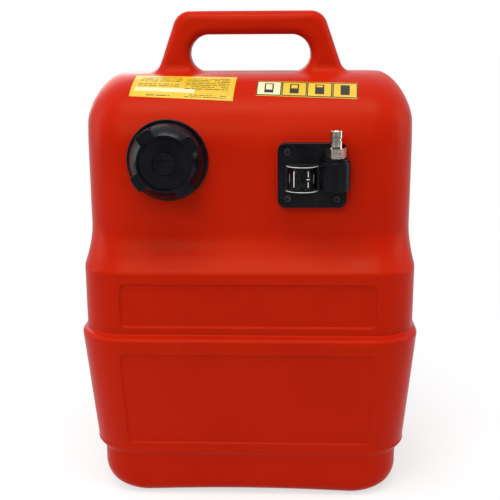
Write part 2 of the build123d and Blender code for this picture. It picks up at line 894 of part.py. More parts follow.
def make_strainer():
    """Slotted cup on the end of the pickup tube."""
    front = pickup_back - strainer_lap
    back = front + strainer_length
    cup = rod_y(strainer_radius, front, back, pickup_x, sender_z)
    cup -= rod_y(pickup_radius + snug_clearance, front - 1, pickup_back, pickup_x, sender_z)
    cup -= rod_y(strainer_radius - 1.2, pickup_back, back - strainer_end_wall, pickup_x, sender_z)
    slots = []
    for index in range(strainer_slot_count // 2):
        bar = Box(strainer_slot_width, 3 * strainer_radius, back - pickup_back - 2 * strainer_end_wall)
        middle = (pickup_back + back) / 2
        turn = Rot(0, 180 / (strainer_slot_count // 2) * index, 0)
        slots.append(Pos(pickup_x, middle, sender_z) * turn * Rot(90, 0, 0) * bar)
    for slot in slots:
        cup -= slot
    return cup


def make_nipple():
    """Quick-connect plug: stem, hexagon and grooved barrel, with the valve bore."""
    stem = rod_z(nipple_stem_radius, hex_bottom - nipple_stem_length, hex_bottom, elbow_x, nipple_y)
    corner_radius = hex_across_flats / 2 / cos(radians(30))
    turned = rod_z(corner_radius, hex_bottom, plug_bottom, elbow_x, nipple_y)
    turned = chamfer(turned.edges().filter_by(GeomType.CIRCLE), hex_chamfer)
    prism = extrude(RegularPolygon(hex_across_flats / 2, 6, major_radius=False), hex_height)
    hexagon = turned & Pos(elbow_x, nipple_y, hex_bottom) * prism
    barrel = rod_z(plug_radius, plug_bottom, plug_top, elbow_x, nipple_y)
    barrel = chamfer(barrel.edges().group_by(Axis.Z)[-1], plug_chamfer)
    groove_bottom = plug_bottom + plug_groove_height
    groove_top = groove_bottom + plug_groove_width
    groove = rod_z(plug_radius + 1, groove_bottom, groove_top, elbow_x, nipple_y)
    groove -= rod_z(plug_radius - plug_groove_depth, groove_bottom, groove_top, elbow_x, nipple_y)
    body = stem + hexagon + barrel - groove
    body -= rod_z(
        nipple_bore, hex_bottom - nipple_stem_length - 1, plug_top - nipple_tip_wall, elbow_x, nipple_y
    )
    return body - rod_z(nipple_tip_hole, plug_top - nipple_tip_wall - 1, plug_top + 1, elbow_x, nipple_y)


def make_nipple_washer():
    """Sealing washer under the hexagon."""
    inner = nipple_stem_radius + running_clearance
    outer = rod_z(inner + nipple_washer_width, elbow_top, hex_bottom, elbow_x, nipple_y)
    return outer - rod_z(inner, elbow_top - 1, hex_bottom + 1, elbow_x, nipple_y)


def make_poppet():
    """Check valve: head under the seat, and a pin that the hose's socket pushes."""
    head_bottom = poppet_top - poppet_head_height
    head = rod_z(nipple_bore - poppet_clearance, head_bottom, poppet_top, elbow_x, nipple_y)
    pin_top = plug_top - poppet_seat_gap
    return head + rod_z(nipple_tip_hole - poppet_clearance, poppet_top, pin_top, elbow_x, nipple_y)


def make_spring():
    """Coil spring under the poppet."""
    mean_radius = nipple_bore - spring_side_gap - spring_wire
    rise = spring_height - 2 * spring_wire
    path = Helix(rise / spring_turns, rise, mean_radius)
    wire = sweep(Plane(origin=path @ 0, z_dir=path % 0) * Circle(spring_wire), path=path, is_frenet=True)
    return Pos(elbow_x, nipple_y, spring_top - spring_height + spring_wire) * wire


def make_retainer():
    """Ring pressed into the nipple, which holds the spring."""
    bottom = retainer_top - retainer_height
    outer = rod_z(nipple_bore - snug_clearance, bottom, retainer_top, elbow_x, nipple_y)
    return outer - rod_z(retainer_hole, bottom - 1, retainer_top + 1, elbow_x, nipple_y)


nodes = {
    "tank_shell": make_tank_shell(),
    "threaded_inserts": make_inserts(),
    "cap_shell": cap_place * make_cap_shell(),
    "cap_gasket": cap_place * make_cap_gasket(),
    "cap_liner": cap_place * make_cap_liner(),
    "vent_knob": cap_place * make_vent_knob(),
    "vent_o_ring": cap_place * make_vent_o_ring(),
    "vent_clip": cap_place * make_vent_clip(),
    "gauge_body": make_gauge_body(),
    "sender_gasket": make_sender_gasket(),
    "sender_screws": make_screws(),
    "screw_washers": make_washers(),
    "gauge_lens": make_lens(),
    "lens_gasket": make_lens_gasket(),
    "gauge_drum": make_drum(),
    "drum_axle": make_axle(),
    "float_arm": arm_wire(arm_radius),
    "float": make_float(),
    "float_push_nut": make_float_nut(),
    "pickup_tube": make_pickup_tube(),
    "pickup_strainer": make_strainer(),
    "outlet_nipple": make_nipple(),
    "nipple_washer": make_nipple_washer(),
    "check_poppet": make_poppet(),
    "check_spring": make_spring(),
    "spring_retainer": make_retainer(),
}

os.makedirs("parts", exist_ok=True)
for name, shape in nodes.items():
    export_step(shape, f"parts/{name}.step")
    print(name, round(shape.volume))
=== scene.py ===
import math
import bmesh
import bpy
import numpy as np
from mathutils import Matrix, Vector


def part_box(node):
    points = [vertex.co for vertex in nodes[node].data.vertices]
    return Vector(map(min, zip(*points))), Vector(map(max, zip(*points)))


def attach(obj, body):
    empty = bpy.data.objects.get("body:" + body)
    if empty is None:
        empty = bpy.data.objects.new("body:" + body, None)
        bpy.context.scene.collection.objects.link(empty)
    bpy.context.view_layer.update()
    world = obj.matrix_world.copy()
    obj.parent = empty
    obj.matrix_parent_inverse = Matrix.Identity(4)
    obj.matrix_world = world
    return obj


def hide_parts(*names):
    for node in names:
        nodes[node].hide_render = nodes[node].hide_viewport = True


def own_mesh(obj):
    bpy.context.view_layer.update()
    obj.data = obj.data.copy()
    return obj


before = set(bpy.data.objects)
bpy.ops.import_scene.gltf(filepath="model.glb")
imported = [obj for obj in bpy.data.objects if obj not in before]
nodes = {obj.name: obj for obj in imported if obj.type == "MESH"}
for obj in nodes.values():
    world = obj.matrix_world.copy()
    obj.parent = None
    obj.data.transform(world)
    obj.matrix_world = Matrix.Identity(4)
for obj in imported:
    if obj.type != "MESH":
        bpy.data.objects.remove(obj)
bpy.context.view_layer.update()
scene = bpy.context.scene
mm = 0.001  # the pieces' dictionaries are in millimetres; the studio and the meshes are in metres
print("frame loaded:", len(nodes), "nodes")


# node helpers
def link(tree, source, target):
    tree.links.new(source, target)


def feed(tree, value, socket):
    # a number or a colour is set on the socket, an output is linked to it
    if isinstance(value, tuple):
        socket.default_value = (*value, 1)
    elif isinstance(value, (int, float)):
        socket.default_value = value
    else:
        link(tree, value, socket)


def feedAll(tree, node, **sockets):
    for name, value in sockets.items():
        feed(tree, value, node.inputs[name.replace("_", " ")])


def addNode(tree, kind, **settings):
    node = tree.nodes.new("ShaderNode" + kind)
    for key, value in settings.items():
        setattr(node, key, value)
    return node


def addMath(tree, operation, first, *others):
    # with more than two values, each result goes on to the next
    for other in others or (None,):
        node = addNode(tree, "Math", operation=operation)
        feed(tree, first, node.inputs[0])
        if other is not None:
            feed(tree, other, node.inputs[1])
        first = node.outputs[0]
    return first


def times(tree, *values):
    return addMath(tree, "MULTIPLY", *values)


def minus(tree, *values):
    return addMath(tree, "SUBTRACT", *values)


def plus(tree, *values):
    return addMath(tree, "ADD", *values)


def addNoise(tree, vector, scale, detail=3.0, roughness=0.5, distortion=0.0):
    node = addNode(tree, "TexNoise")
    feedAll(tree, node, Vector=vector, Scale=scale, Detail=detail, Roughness=roughness,
            Distortion=distortion)
    return node.outputs["Fac"]


def addRange(tree, value, low, high, newLow=0.0, newHigh=1.0):
    node = addNode(tree, "MapRange", interpolation_type="SMOOTHSTEP")
    feedAll(tree, node, Value=value, From_Min=low, From_Max=high, To_Min=newLow, To_Max=newHigh)
    return node.outputs["Result"]


def addMix(tree, share, first, second):
    node = addNode(tree, "Mix", data_type="RGBA")
    for index, value in ((0, share), (6, first), (7, second)):
        feed(tree, value, node.inputs[index])
    return node.outputs[2]


def addStretch(tree, vector, scale, turn):
    node = addNode(tree, "Mapping")
    node.inputs["Rotation"].default_value = turn
    node.inputs["Scale"].default_value = scale
    link(tree, vector, node.inputs[0])
    return node.outputs[0]


def splitVector(tree, vector):
    node = addNode(tree, "SeparateXYZ")
    link(tree, vector, node.inputs[0])
    return node.outputs["X"], node.outputs["Y"], node.outputs["Z"]


def addShader(tree, kind, colour, strength=None):
    node = addNode(tree, kind)
    feed(tree, colour, node.inputs["Color"])
    if strength is not None:
        node.inputs["Strength"].default_value = strength
    return node.outputs[0]


def mixShaders(tree, share, first, second):
    node = addNode(tree, "MixShader")
    for socket, source in zip(node.inputs, (share, first, second)):
        link(tree, source, socket)
    return node.outputs[0]


def objectPlace(tree):
    return addNode(tree, "TexCoord").outputs["Object"]


def startMaterial(name, values, **constants):
    material = bpy.data.materials.new(name)
    material.use_nodes = True
    tree = material.node_tree
    shader = tree.nodes["Principled BSDF"]
    if "specular" in values:
        constants["Specular_IOR_Level"] = values["specular"]
    feedAll(tree, shader, Base_Color=values["deep"], Roughness=values["roughness"], **constants)
    return material, tree, shader


def emptyTree(owner):
    owner.use_nodes = True
    owner.node_tree.nodes.clear()
    return owner.node_tree


def addObject(name, data):
    thing = bpy.data.objects.new(name, data)
    scene.collection.objects.link(thing)
    return thing


# camera, light and floor
cameraSetup = {
    "place": (0.0355, -0.9806, 0.4839),
    "pitch": 14.09,      # degrees down
    "yaw": 2.17,         # degrees to the left
    "roll": -0.31,
    "lens": 65.5,
    "sensor": 36.0,
    "clipEnd": 50,
}
lampSetup = {
    # name: (place, aim, width, height, power)
    "keyPanel": ((-0.45, -1.45, 1.45), (0.0, -0.05, 0.25), 1.2, 0.8, 13.0),
    "topPanel": ((0.0, -0.42, 1.75), (0.0, -0.05, 0.40), 1.1, 0.5, 14.0),
    "leftPanel": ((-1.35, 0.05, 0.75), (0.0, 0.0, 0.25), 0.4, 1.1, 5.0),
    "rightPanel": ((1.35, 0.05, 0.75), (0.0, 0.0, 0.25), 0.4, 1.1, 5.0),
    "backPanel": ((-0.7, 1.50, 0.90), (0.0, 0.0, 0.30), 1.0, 1.0, 9.0),
}
worldSetup = {"fill": (0.42, 0.42, 0.43), "backdrop": (1.0, 1.0, 1.0)}
# a dark flag round the camera that only gloss sees, so that what faces it isn't washed out
flagSetup = {
    "outline": ((-1.9, -0.1), (-1.7, -1.9), (1.7, -1.9), (1.9, -0.1)), "low": 0.02, "high": 2.4,
    "deep": (0.02, 0.02, 0.02), "roughness": 0.9,
}
# seen rays meet a half painted, half glowing floor by the object that turns into plain white further off
floorSetup = {
    "halfSize": 6.0, "paint": (0.80, 0.80, 0.80), "seenPaint": (0.34, 0.34, 0.34), "glow": 0.64,
    "white": (1.0, 1.0, 1.0), "near": 0.35, "far": 0.95,
}


def makeCamera(setup):
    data = bpy.data.cameras.new("viewCamera")
    data.sensor_width = setup["sensor"]
    data.lens = setup["lens"]
    data.clip_end = setup["clipEnd"]
    camera = addObject("viewCamera", data)
    camera.location = setup["place"]
    aim = Matrix.Identity(3)
    for degrees, axis in ((setup["yaw"], "Z"), (90 - setup["pitch"], "X"), (setup["roll"], "Z")):
        aim = aim @ Matrix.Rotation(math.radians(degrees), 3, axis)
    camera.rotation_euler = aim.to_euler("XYZ")
    scene.camera = camera


def makeLamp(name, place, aim, width, height, power):
    data = bpy.data.lights.new(name, "AREA")
    data.shape = "RECTANGLE"
    data.size = width
    data.size_y = height
    data.energy = power
    lamp = addObject(name, data)
    lamp.location = place
    lamp.rotation_euler = (Vector(aim) - Vector(place)).to_track_quat("-Z", "Y").to_euler()


def seenRays(tree):
    # 1 for camera, glossy and transmission rays, 0 for those that carry light
    path = addNode(tree, "LightPath").outputs
    return addMath(tree, "MAXIMUM", path["Is Camera Ray"], path["Is Glossy Ray"], path["Is Transmission Ray"])


def makeWorld(setup):
    world = bpy.data.worlds.new("studio")
    scene.world = world
    tree = emptyTree(world)
    fill = addShader(tree, "Background", setup["fill"])
    backdrop = addShader(tree, "Background", setup["backdrop"])
    shown = mixShaders(tree, seenRays(tree), fill, backdrop)
    link(tree, shown, addNode(tree, "OutputWorld").inputs[0])


def addSheet(name, points, faces, material):
    mesh = bpy.data.meshes.new(name)
    mesh.from_pydata(points, [], faces)
    mesh.materials.append(material)
    return addObject(name, mesh)


def makeFloor(setup):
    half = setup["halfSize"]
    corners = [(-half, -half, 0), (half, -half, 0), (half, half, 0), (-half, half, 0)]
    material = bpy.data.materials.new("floorPaint")
    floor = addSheet("studioFloor", corners, [(0, 1, 2, 3)], material)
    tree = emptyTree(material)
    paint = addShader(tree, "BsdfDiffuse", setup["paint"])
    both = addNode(tree, "AddShader")
    link(tree, addShader(tree, "BsdfDiffuse", setup["seenPaint"]), both.inputs[0])
    link(tree, addShader(tree, "Emission", setup["white"], setup["glow"]), both.inputs[1])
    white = addShader(tree, "Emission", setup["white"], 1.0)
    reach = addNode(tree, "VectorMath", operation="LENGTH")
    link(tree, objectPlace(tree), reach.inputs[0])
    away = addRange(tree, reach.outputs["Value"], setup["near"], setup["far"])
    seen = mixShaders(tree, away, both.outputs[0], white)
    shown = mixShaders(tree, seenRays(tree), paint, seen)
    link(tree, shown, addNode(tree, "OutputMaterial").inputs[0])


def makeFlag(setup):
    points = [(x, y, level) for level in (setup["low"], setup["high"]) for x, y in setup["outline"]]
    count = len(setup["outline"])
    faces = [(i + 1, i, i + count, i + 1 + count) for i in range(count - 1)]
    flag = addSheet("darkFlag", points, faces, startMaterial("flagCloth", setup)[0])
    flag.visible_camera = flag.visible_diffuse = flag.visible_shadow = False


makeCamera(cameraSetup)
makeWorld(worldSetup)
makeFloor(floorSetup)
makeFlag(flagSetup)
for lampName, lampValues in lampSetup.items():
    makeLamp(lampName, *lampValues)
scene.view_settings.view_transform = "Standard"
print("studio ready")


# meshes from grids of points
mergeDistance = 2e-7    # metres


def gridFaces(rows, columns, wrap):
    # quads between neighbouring points of a rows by columns grid
    r = np.arange(rows - 1)
    c = np.arange(columns if wrap else columns - 1)
    r, c = (part.ravel() for part in np.meshgrid(r * columns, c, indexing="ij"))
    ahead = (c + 1) % columns
    return np.stack([r + c, r + ahead, r + columns + ahead, r + columns + c], 1)


def addSurface(name, points, material="redPolyethylene", body="tank", wrap=True,
               smoothAngle=40, uv=None, closed=True):
    # points is rows x columns x 3 in millimetres
    rows, columns = points.shape[:2]
    faces = gridFaces(rows, columns, wrap)
    mesh = bpy.data.meshes.new(name)
    mesh.vertices.add(rows * columns)
    mesh.vertices.foreach_set("co", (points.reshape(-1, 3) * mm).ravel())
    mesh.loops.add(faces.size)
    mesh.loops.foreach_set("vertex_index", faces.ravel())
    mesh.polygons.add(len(faces))
    mesh.polygons.foreach_set("loop_start", np.arange(len(faces)) * 4)
    if uv is not None:
        layer = mesh.uv_layers.new(name="flatMap")
        layer.data.foreach_set("uv", uv.reshape(-1, 2)[faces.ravel()].ravel())
    mesh.update(calc_edges=True)
    tidy = bmesh.new()
    tidy.from_mesh(mesh)
    bmesh.ops.remove_doubles(tidy, verts=tidy.verts, dist=mergeDistance)
    if closed:
        bmesh.ops.recalc_face_normals(tidy, faces=tidy.faces)
    tidy.to_mesh(mesh)
    tidy.free()
    mesh.shade_smooth()
    mesh.set_sharp_from_angle(angle=math.radians(smoothAngle))
    piece = addObject(name, mesh)
    mesh.materials.append(made[material])
    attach(piece, body)
    return piece


def spans(*parts):
    # start, end and count of each part, in one row of numbers
    return np.concatenate([np.linspace(*part) for part in parts])


def ringAngles(count):
    return np.radians(np.linspace(0, 360, count + 1)[:-1])


def smoothStep(t):
    t = np.clip(t, 0, 1)
    return t * t * (3 - 2 * t)


def acrossColumns(values, count):
    # the same value in every column of a row
    return np.repeat(np.asarray(values, float)[:, None], count, 1)


def ringColumns(sideX, sideY, cornerSteps):
    # one entry a column, anticlockwise seen from above: share of the straight stretch in x and y,
    # from -1 to 1, and the direction that the corner radius points in
    quarter = math.pi / 2
    sides = (
        ([(x, -1.0, -quarter) for x in sideX], (1, -1), -quarter),
        ([(1.0, y, 0.0) for y in sideY], (1, 1), 0),
        ([(-x, 1.0, quarter) for x in sideX], (-1, 1), quarter),
        ([(-1.0, -y, math.pi) for y in sideY], (-1, -1), math.pi),
    )
    table = []
    for side, (x, y), start in sides:
        table += side + [(x, y, start + step * quarter) for step in cornerSteps[1:-1]]
    return np.array(table).T


def roundedRing(columns, halfX, front, back, corner):
    # rounded rectangle: corner centre plus corner radius, for arrays of sizes (one a row)
    stretchX, stretchY, angle = columns
    halfX, front, back, corner = (np.asarray(v, float).reshape(-1, 1) for v in (halfX, front, back, corner))
    middle = (back - front) / 2
    halfY = (back + front) / 2
    x = stretchX * (halfX - corner) + corner * np.cos(angle)
    y = middle + stretchY * (halfY - corner) + corner * np.sin(angle)
    return x, y


# shared effects
skinSetup = {
    # detail and roughness of the noises
    "peel": (2.0, 0.55), "swell": (3.0, 0.5), "swellHeight": 1.5,
    # scratches: stretch and turn of the noise, and the part of it that shows
    "across": ((900, 60, 40), (0.2, 0.5, 0.3), (0.66, 0.74)),
    "along": ((50, 60, 1100), (0.1, -0.4, 0.2), (0.67, 0.75)), "streaks": (1.0, 2.0, 0.6),
    "patches": (22.0, 3.0, 0.6, 0.6), "patchRange": (0.48, 0.66), "scuffDepth": 0.8,
}
metalSetup = {
    "ringDetail": 2.0, "marks": (420.0, 4.0, 0.65), "markRange": (0.55, 0.72), "tone": (130.0, 3.0, 0.5),
}
plasticIor = 1.5
mottleRange = (0.3, 0.7)    # the part of the mottling that moves tone and gloss
toneRange = (0.35, 0.65)    # the same for metal and foam
wearSetup = {"scuffShare": 0.5, "glossDrift": 0.04, "scuffRough": 0.12, "markShare": 0.5, "markRough": 0.18}


def newGroup(name, inputs, outputs):
    group = bpy.data.node_groups.new(name, "ShaderNodeTree")
    group.interface.new_socket("Place", in_out="INPUT", socket_type="NodeSocketVector")
    for label, value in inputs:
        group.interface.new_socket(label, in_out="INPUT", socket_type="NodeSocketFloat").default_value = value
    for label in outputs:
        group.interface.new_socket(label, in_out="OUTPUT", socket_type="NodeSocketFloat")
    return group, group.nodes.new("NodeGroupInput").outputs, group.nodes.new("NodeGroupOutput").inputs


def mouldedSkinGroup(setup):
    # orange peel, slow mottling and fine scuffs of moulded plastic
    group, given, result = newGroup(
        "mouldedSkin", [("Peel Scale", 700.0), ("Mottle Scale", 14.0), ("Scuffs", 0.5)],
        ["Height", "Mottle", "Scuff"],
    )
    place = given["Place"]
    peel = addNoise(group, place, given["Peel Scale"], *setup["peel"])
    swell = addNoise(group, place, given["Mottle Scale"], *setup["swell"])
    scratches = []
    for stretch, turn, shown in (setup["across"], setup["along"]):
        streaks = addNoise(group, addStretch(group, place, stretch, turn), *setup["streaks"])
        scratches.append(addRange(group, streaks, *shown))
    patches = addRange(group, addNoise(group, place, *setup["patches"]), *setup["patchRange"])
    scuff = times(group, addMath(group, "MAXIMUM", *scratches), patches, given["Scuffs"])
    lowered = minus(group, peel, times(group, scuff, setup["scuffDepth"]))
    height = plus(group, lowered, times(group, swell, setup["swellHeight"]))
    link(group, height, result["Height"])
    link(group, swell, result["Mottle"])
    link(group, scuff, result["Scuff"])
    return group


def turnedMetalGroup(setup):
    # fine rings round the Z axis of a turned part, with small handling marks
    group, given, result = newGroup("turnedMetal", [("Ring Scale", 5200.0)], ["Height", "Tone", "Marks"])
    rings = addNode(group, "TexNoise", noise_dimensions="1D")
    height = splitVector(group, given["Place"])[2]
    feedAll(group, rings, W=height, Scale=given["Ring Scale"], Detail=setup["ringDetail"])
    tone = addNoise(group, given["Place"], *setup["tone"])
    marks = addRange(group, addNoise(group, given["Place"], *setup["marks"]), *setup["markRange"])
    link(group, rings.outputs["Fac"], result["Height"])
    link(group, tone, result["Tone"])
    link(group, marks, result["Marks"])
    return group


mouldedSkin = mouldedSkinGroup(skinSetup)
turnedMetal = turnedMetalGroup(metalSetup)


def placeGroup(tree, group, values, **sockets):
    node = addNode(tree, "Group", node_tree=group)
    feedAll(tree, node, Place=objectPlace(tree), **{socket: values[key] for socket, key in sockets.items()})
    return node.outputs


def placeSkin(tree, values):
    keys = {"Peel_Scale": "peelScale", "Mottle_Scale": "mottleScale", "Scuffs": "scuffs"}
    return placeGroup(tree, mouldedSkin, values, **keys)


def addBump(tree, shader, height, distance, under=None):
    bump = addNode(tree, "Bump")
    feedAll(tree, bump, Distance=distance, Height=height)
    if under is not None:
        link(tree, under, bump.inputs["Normal"])
    feedAll(tree, shader, Normal=bump.outputs[0])
    return bump.outputs[0]


def addTone(tree, share, shown, values):
    # from the deep to the bright colour over the part of the share that is shown
    return addMix(tree, addRange(tree, share, *shown), values["deep"], values["bright"])


def mouldedPlastic(name, values):
    # mottled tone and gloss, paler and duller scuffs; a sheen, where there is one, tints the gloss
    sheen = values.get("sheen", (1.0, 1.0, 1.0))
    material, tree, shader = startMaterial(name, values, IOR=plasticIor, Specular_Tint=sheen)
    skin = placeSkin(tree, values)
    tone = addTone(tree, skin["Mottle"], mottleRange, values)
    scuffed = times(tree, skin["Scuff"], wearSetup["scuffShare"])
    tone = addMix(tree, scuffed, tone, values["scuffColour"])
    rough, drift = values["roughness"], wearSetup["glossDrift"]
    rough = addRange(tree, skin["Mottle"], *mottleRange, rough - drift, rough + drift)
    worn = plus(tree, rough, times(tree, skin["Scuff"], wearSetup["scuffRough"]))
    feedAll(tree, shader, Base_Color=tone, Roughness=worn)
    peel = addBump(tree, shader, skin["Height"], values["bump"])
    if "seam" in values:
        # the mould's parting line, in the handle's plane
        away = minus(tree, splitVector(tree, objectPlace(tree))[1], values["seamPlace"])
        ridge = addRange(tree, addMath(tree, "ABSOLUTE", away), 0.0, values["seam"], 1.0, 0.0)
        addBump(tree, shader, ridge, values["seamHeight"], under=peel)
    return material


def turnedPiece(name, values):
    # turned or drawn metal: fine rings, a drifting tone and small dull marks
    material, tree, shader = startMaterial(name, values, Metallic=values["metallic"])
    turned = placeGroup(tree, turnedMetal, values, Ring_Scale="ringScale")
    tone = addTone(tree, turned["Tone"], toneRange, values)
    marked = times(tree, turned["Marks"], wearSetup["markShare"])
    tone = addMix(tree, marked, tone, values["markColour"])
    dull = times(tree, turned["Marks"], wearSetup["markRough"])
    feedAll(tree, shader, Base_Color=tone, Roughness=plus(tree, dull, values["roughness"]))
    addBump(tree, shader, turned["Height"], values["bump"])
    return material


def clearPlastic(name, values):
    # clear moulding with faint wipe marks in its polish
    material, tree, shader = startMaterial(name, values, IOR=values["ior"], Transmission_Weight=1.0)
    skin = placeSkin(tree, values)
    haze = times(tree, skin["Scuff"], values["haze"])
    feedAll(tree, shader, Roughness=plus(tree, haze, values["roughness"]))
    addBump(tree, shader, skin["Height"], values["bump"])
    # lamp light goes straight through, so that what lies behind is lit without grain
    path = addNode(tree, "LightPath").outputs
    lit = addMath(tree, "MAXIMUM", path["Is Shadow Ray"], path["Is Diffuse Ray"])
    straight = addNode(tree, "BsdfTransparent").outputs[0]
    mixed = mixShaders(tree, lit, shader.outputs[0], straight)
    link(tree, mixed, tree.nodes["Material Output"].inputs["Surface"])
    return material


def addBox(tree, across, up, centre, size):
    # 1 inside an upright rectangle, else 0
    inside = []
    for place, middle, width in zip((across, up), centre, size):
        away = addMath(tree, "ABSOLUTE", minus(tree, place, middle))
        inside.append(addMath(tree, "LESS_THAN", away, width / 2))
    return times(tree, *inside)


def drumPlastic(name, values):
    # matt drum with white marks painted along its axis: one whole line, and one broken round a short tick
    material, tree, shader = startMaterial(name, values)
    skin = placeSkin(tree, values)
    x, y, z = splitVector(tree, objectPlace(tree))
    aside = minus(tree, x, values["axis"][0])
    ahead = minus(tree, values["axis"][1], y)
    # arc length round the drum from its front, and height above its middle, both in millimetres
    around = times(tree, addMath(tree, "ARCTAN2", aside, ahead), values["radius"])
    up = times(tree, minus(tree, z, values["middle"]), 1 / mm)
    marks = addMath(tree, "MAXIMUM", *(addBox(tree, around, up, *mark) for mark in values["marks"]))
    ink = times(tree, marks, addRange(tree, skin["Mottle"], *values["inkRange"]))
    tone = addMix(tree, skin["Mottle"], values["deep"], values["bright"])
    feedAll(tree, shader, Base_Color=addMix(tree, ink, tone, values["markColour"]))
    addBump(tree, shader, skin["Height"], values["bump"])
    return material


def softFoam(name, values):
    # closed-cell foam with a fuel-stained tone
    material, tree, shader = startMaterial(name, values)
    place = objectPlace(tree)
    cells = addNode(tree, "TexVoronoi")
    feedAll(tree, cells, Scale=values["cellScale"], Vector=place)
    tone = addTone(tree, addNoise(tree, place, *values["stain"]), toneRange, values)
    feedAll(tree, shader, Base_Color=tone)
    addBump(tree, shader, cells.outputs["Distance"], values["bump"])
    return material


def ruledPrint(tree, across, up, layout):
    # blocks of thin broken rules in two columns and a pale strip, with nothing written
    blocks = []
    for centre, size, rules in layout["blocks"]:
        block = addBox(tree, across, up, centre, size)
        row = times(tree, minus(tree, up, centre[1] - size[1] / 2), rules / size[1])
        inRule = addMath(tree, "LESS_THAN", addMath(tree, "FRACT", row), layout["ruleShare"])
        dash = addNode(tree, "CombineXYZ")
        shift = times(tree, across, layout["dashes"])
        feedAll(tree, dash, X=shift, Y=times(tree, addMath(tree, "FLOOR", row), layout["rowShift"]))
        gaps = addNoise(tree, dash.outputs[0], 1.0, detail=0.0)
        broken = addMath(tree, "GREATER_THAN", gaps, layout["gapShare"])
        blocks.append(times(tree, block, inRule, broken))
    ink = times(tree, addMath(tree, "MAXIMUM", *blocks), layout["inkStrength"])
    return ink, times(tree, addBox(tree, across, up, *layout["strip"]), layout["paleStrength"])


def levelPrint(tree, across, up, layout):
    # four framed cells, each with a gauge bar filled a quarter further than the last
    cells = layout["cells"]
    wide = times(tree, across, cells)
    inCell = addMath(tree, "FRACT", wide)
    level = addMath(tree, "DIVIDE", plus(tree, addMath(tree, "FLOOR", wide), 1.0), cells)
    frameOut, frameIn, barOut, barIn = (
        addBox(tree, inCell, up, (0.5, 0.5), layout[part]) for part in ("frame", "inside", "bar", "barInside")
    )
    barHeight = layout["barInside"][1]
    fillTop = plus(tree, times(tree, level, barHeight), 0.5 - barHeight / 2)
    filled = times(tree, barIn, addMath(tree, "LESS_THAN", up, fillTop))
    barInk = plus(tree, minus(tree, barOut, barIn), filled)
    ink = addMath(tree, "MAXIMUM", minus(tree, frameOut, frameIn), barInk)
    firstCell = addMath(tree, "LESS_THAN", across, 1 / cells)
    return ink, times(tree, frameIn, firstCell, layout["paleStrength"])


def labelFilm(name, makePrint, layout, values):
    # yellow film that deepens with the mottling, a paler field, black print, and wear that fades it
    material, tree, shader = startMaterial(name, values)
    across, up, _ = splitVector(tree, addNode(tree, "UVMap", uv_map="flatMap").outputs[0])
    ink, pale = makePrint(tree, across, up, layout)
    skin = placeSkin(tree, values)
    film = addMix(tree, pale, addTone(tree, skin["Mottle"], mottleRange, values), values["pale"])
    faded = times(tree, ink, addRange(tree, skin["Scuff"], 0.0, 1.0, 1.0, values["fadedInk"]))
    feedAll(tree, shader, Base_Color=addMix(tree, faded, film, values["ink"]))
    addBump(tree, shader, skin["Height"], values["bump"])
    return material


tankFinish = {
    "deep": (0.432, 0.0098, 0.0014), "bright": (0.458, 0.0118, 0.0019), "scuffColour": (0.56, 0.035, 0.012),
    "roughness": 0.34, "specular": 0.075, "sheen": (1.0, 0.72, 0.32),
    "peelScale": 620.0, "mottleScale": 13.0, "scuffs": 0.5, "bump": 0.00010,
    "seam": 0.0009, "seamHeight": 0.0004, "seamPlace": 0.0,
}
capFinish = {
    "deep": (0.0026, 0.0029, 0.0052), "bright": (0.0052, 0.0056, 0.0085), "scuffColour": (0.035, 0.035, 0.04),
    "roughness": 0.27, "specular": 0.15,
    "peelScale": 1500.0, "mottleScale": 60.0, "scuffs": 0.7, "bump": 0.00006,
}
senderFinish = {
    "deep": (0.0028, 0.0030, 0.0045), "bright": (0.0055, 0.0058, 0.0080), "scuffColour": (0.035, 0.035, 0.04),
    "roughness": 0.25, "specular": 0.14,
    "peelScale": 1800.0, "mottleScale": 80.0, "scuffs": 0.6, "bump": 0.00004,
}
rubberFinish = {
    "deep": (0.008, 0.008, 0.009), "bright": (0.014, 0.014, 0.015), "scuffColour": (0.05, 0.05, 0.05),
    "roughness": 0.62, "specular": 0.25,
    "peelScale": 2400.0, "mottleScale": 150.0, "scuffs": 0.6, "bump": 0.00004,
}
nylonFinish = {
    "deep": (0.66, 0.64, 0.57), "bright": (0.76, 0.75, 0.70), "scuffColour": (0.82, 0.81, 0.78),
    "roughness": 0.42, "specular": 0.45,
    "peelScale": 1500.0, "mottleScale": 60.0, "scuffs": 0.4, "bump": 0.00004,
}
platedFinish = {
    "deep": (0.62, 0.57, 0.49), "bright": (0.80, 0.74, 0.65), "markColour": (0.46, 0.35, 0.25),
    "roughness": 0.09, "metallic": 1.0, "ringScale": 4200.0, "bump": 0.00003,
}
brassFinish = {
    "deep": (0.62, 0.41, 0.15), "bright": (0.76, 0.53, 0.22), "markColour": (0.40, 0.24, 0.09),
    "roughness": 0.24, "metallic": 1.0, "ringScale": 4200.0, "bump": 0.00005,
}
steelFinish = {
    "deep": (0.47, 0.47, 0.48), "bright": (0.60, 0.60, 0.61), "markColour": (0.33, 0.32, 0.31),
    "roughness": 0.25, "metallic": 1.0, "ringScale": 3000.0, "bump": 0.00004,
}
blackSteelFinish = {
    "deep": (0.010, 0.010, 0.012), "bright": (0.030, 0.030, 0.033), "markColour": (0.12, 0.11, 0.10),
    "roughness": 0.34, "metallic": 0.6, "ringScale": 5200.0, "bump": 0.00004,
}
lensFinish = {
    "deep": (0.96, 0.97, 0.97), "roughness": 0.0, "haze": 0.02, "ior": 1.12,
    "peelScale": 300.0, "mottleScale": 90.0, "scuffs": 1.0, "bump": 0.0000002,
}
# pale grey-white colour of the window's edge beads: a painted highlight, not a frosted moulding
lensHighlightFinish = {
    "deep": (0.62, 0.59, 0.57), "bright": (0.80, 0.78, 0.76), "scuffColour": (0.5, 0.5, 0.5),
    "roughness": 0.22, "specular": 0.5,
    "peelScale": 1200.0, "mottleScale": 260.0, "scuffs": 0.3, "bump": 0.00003,
}
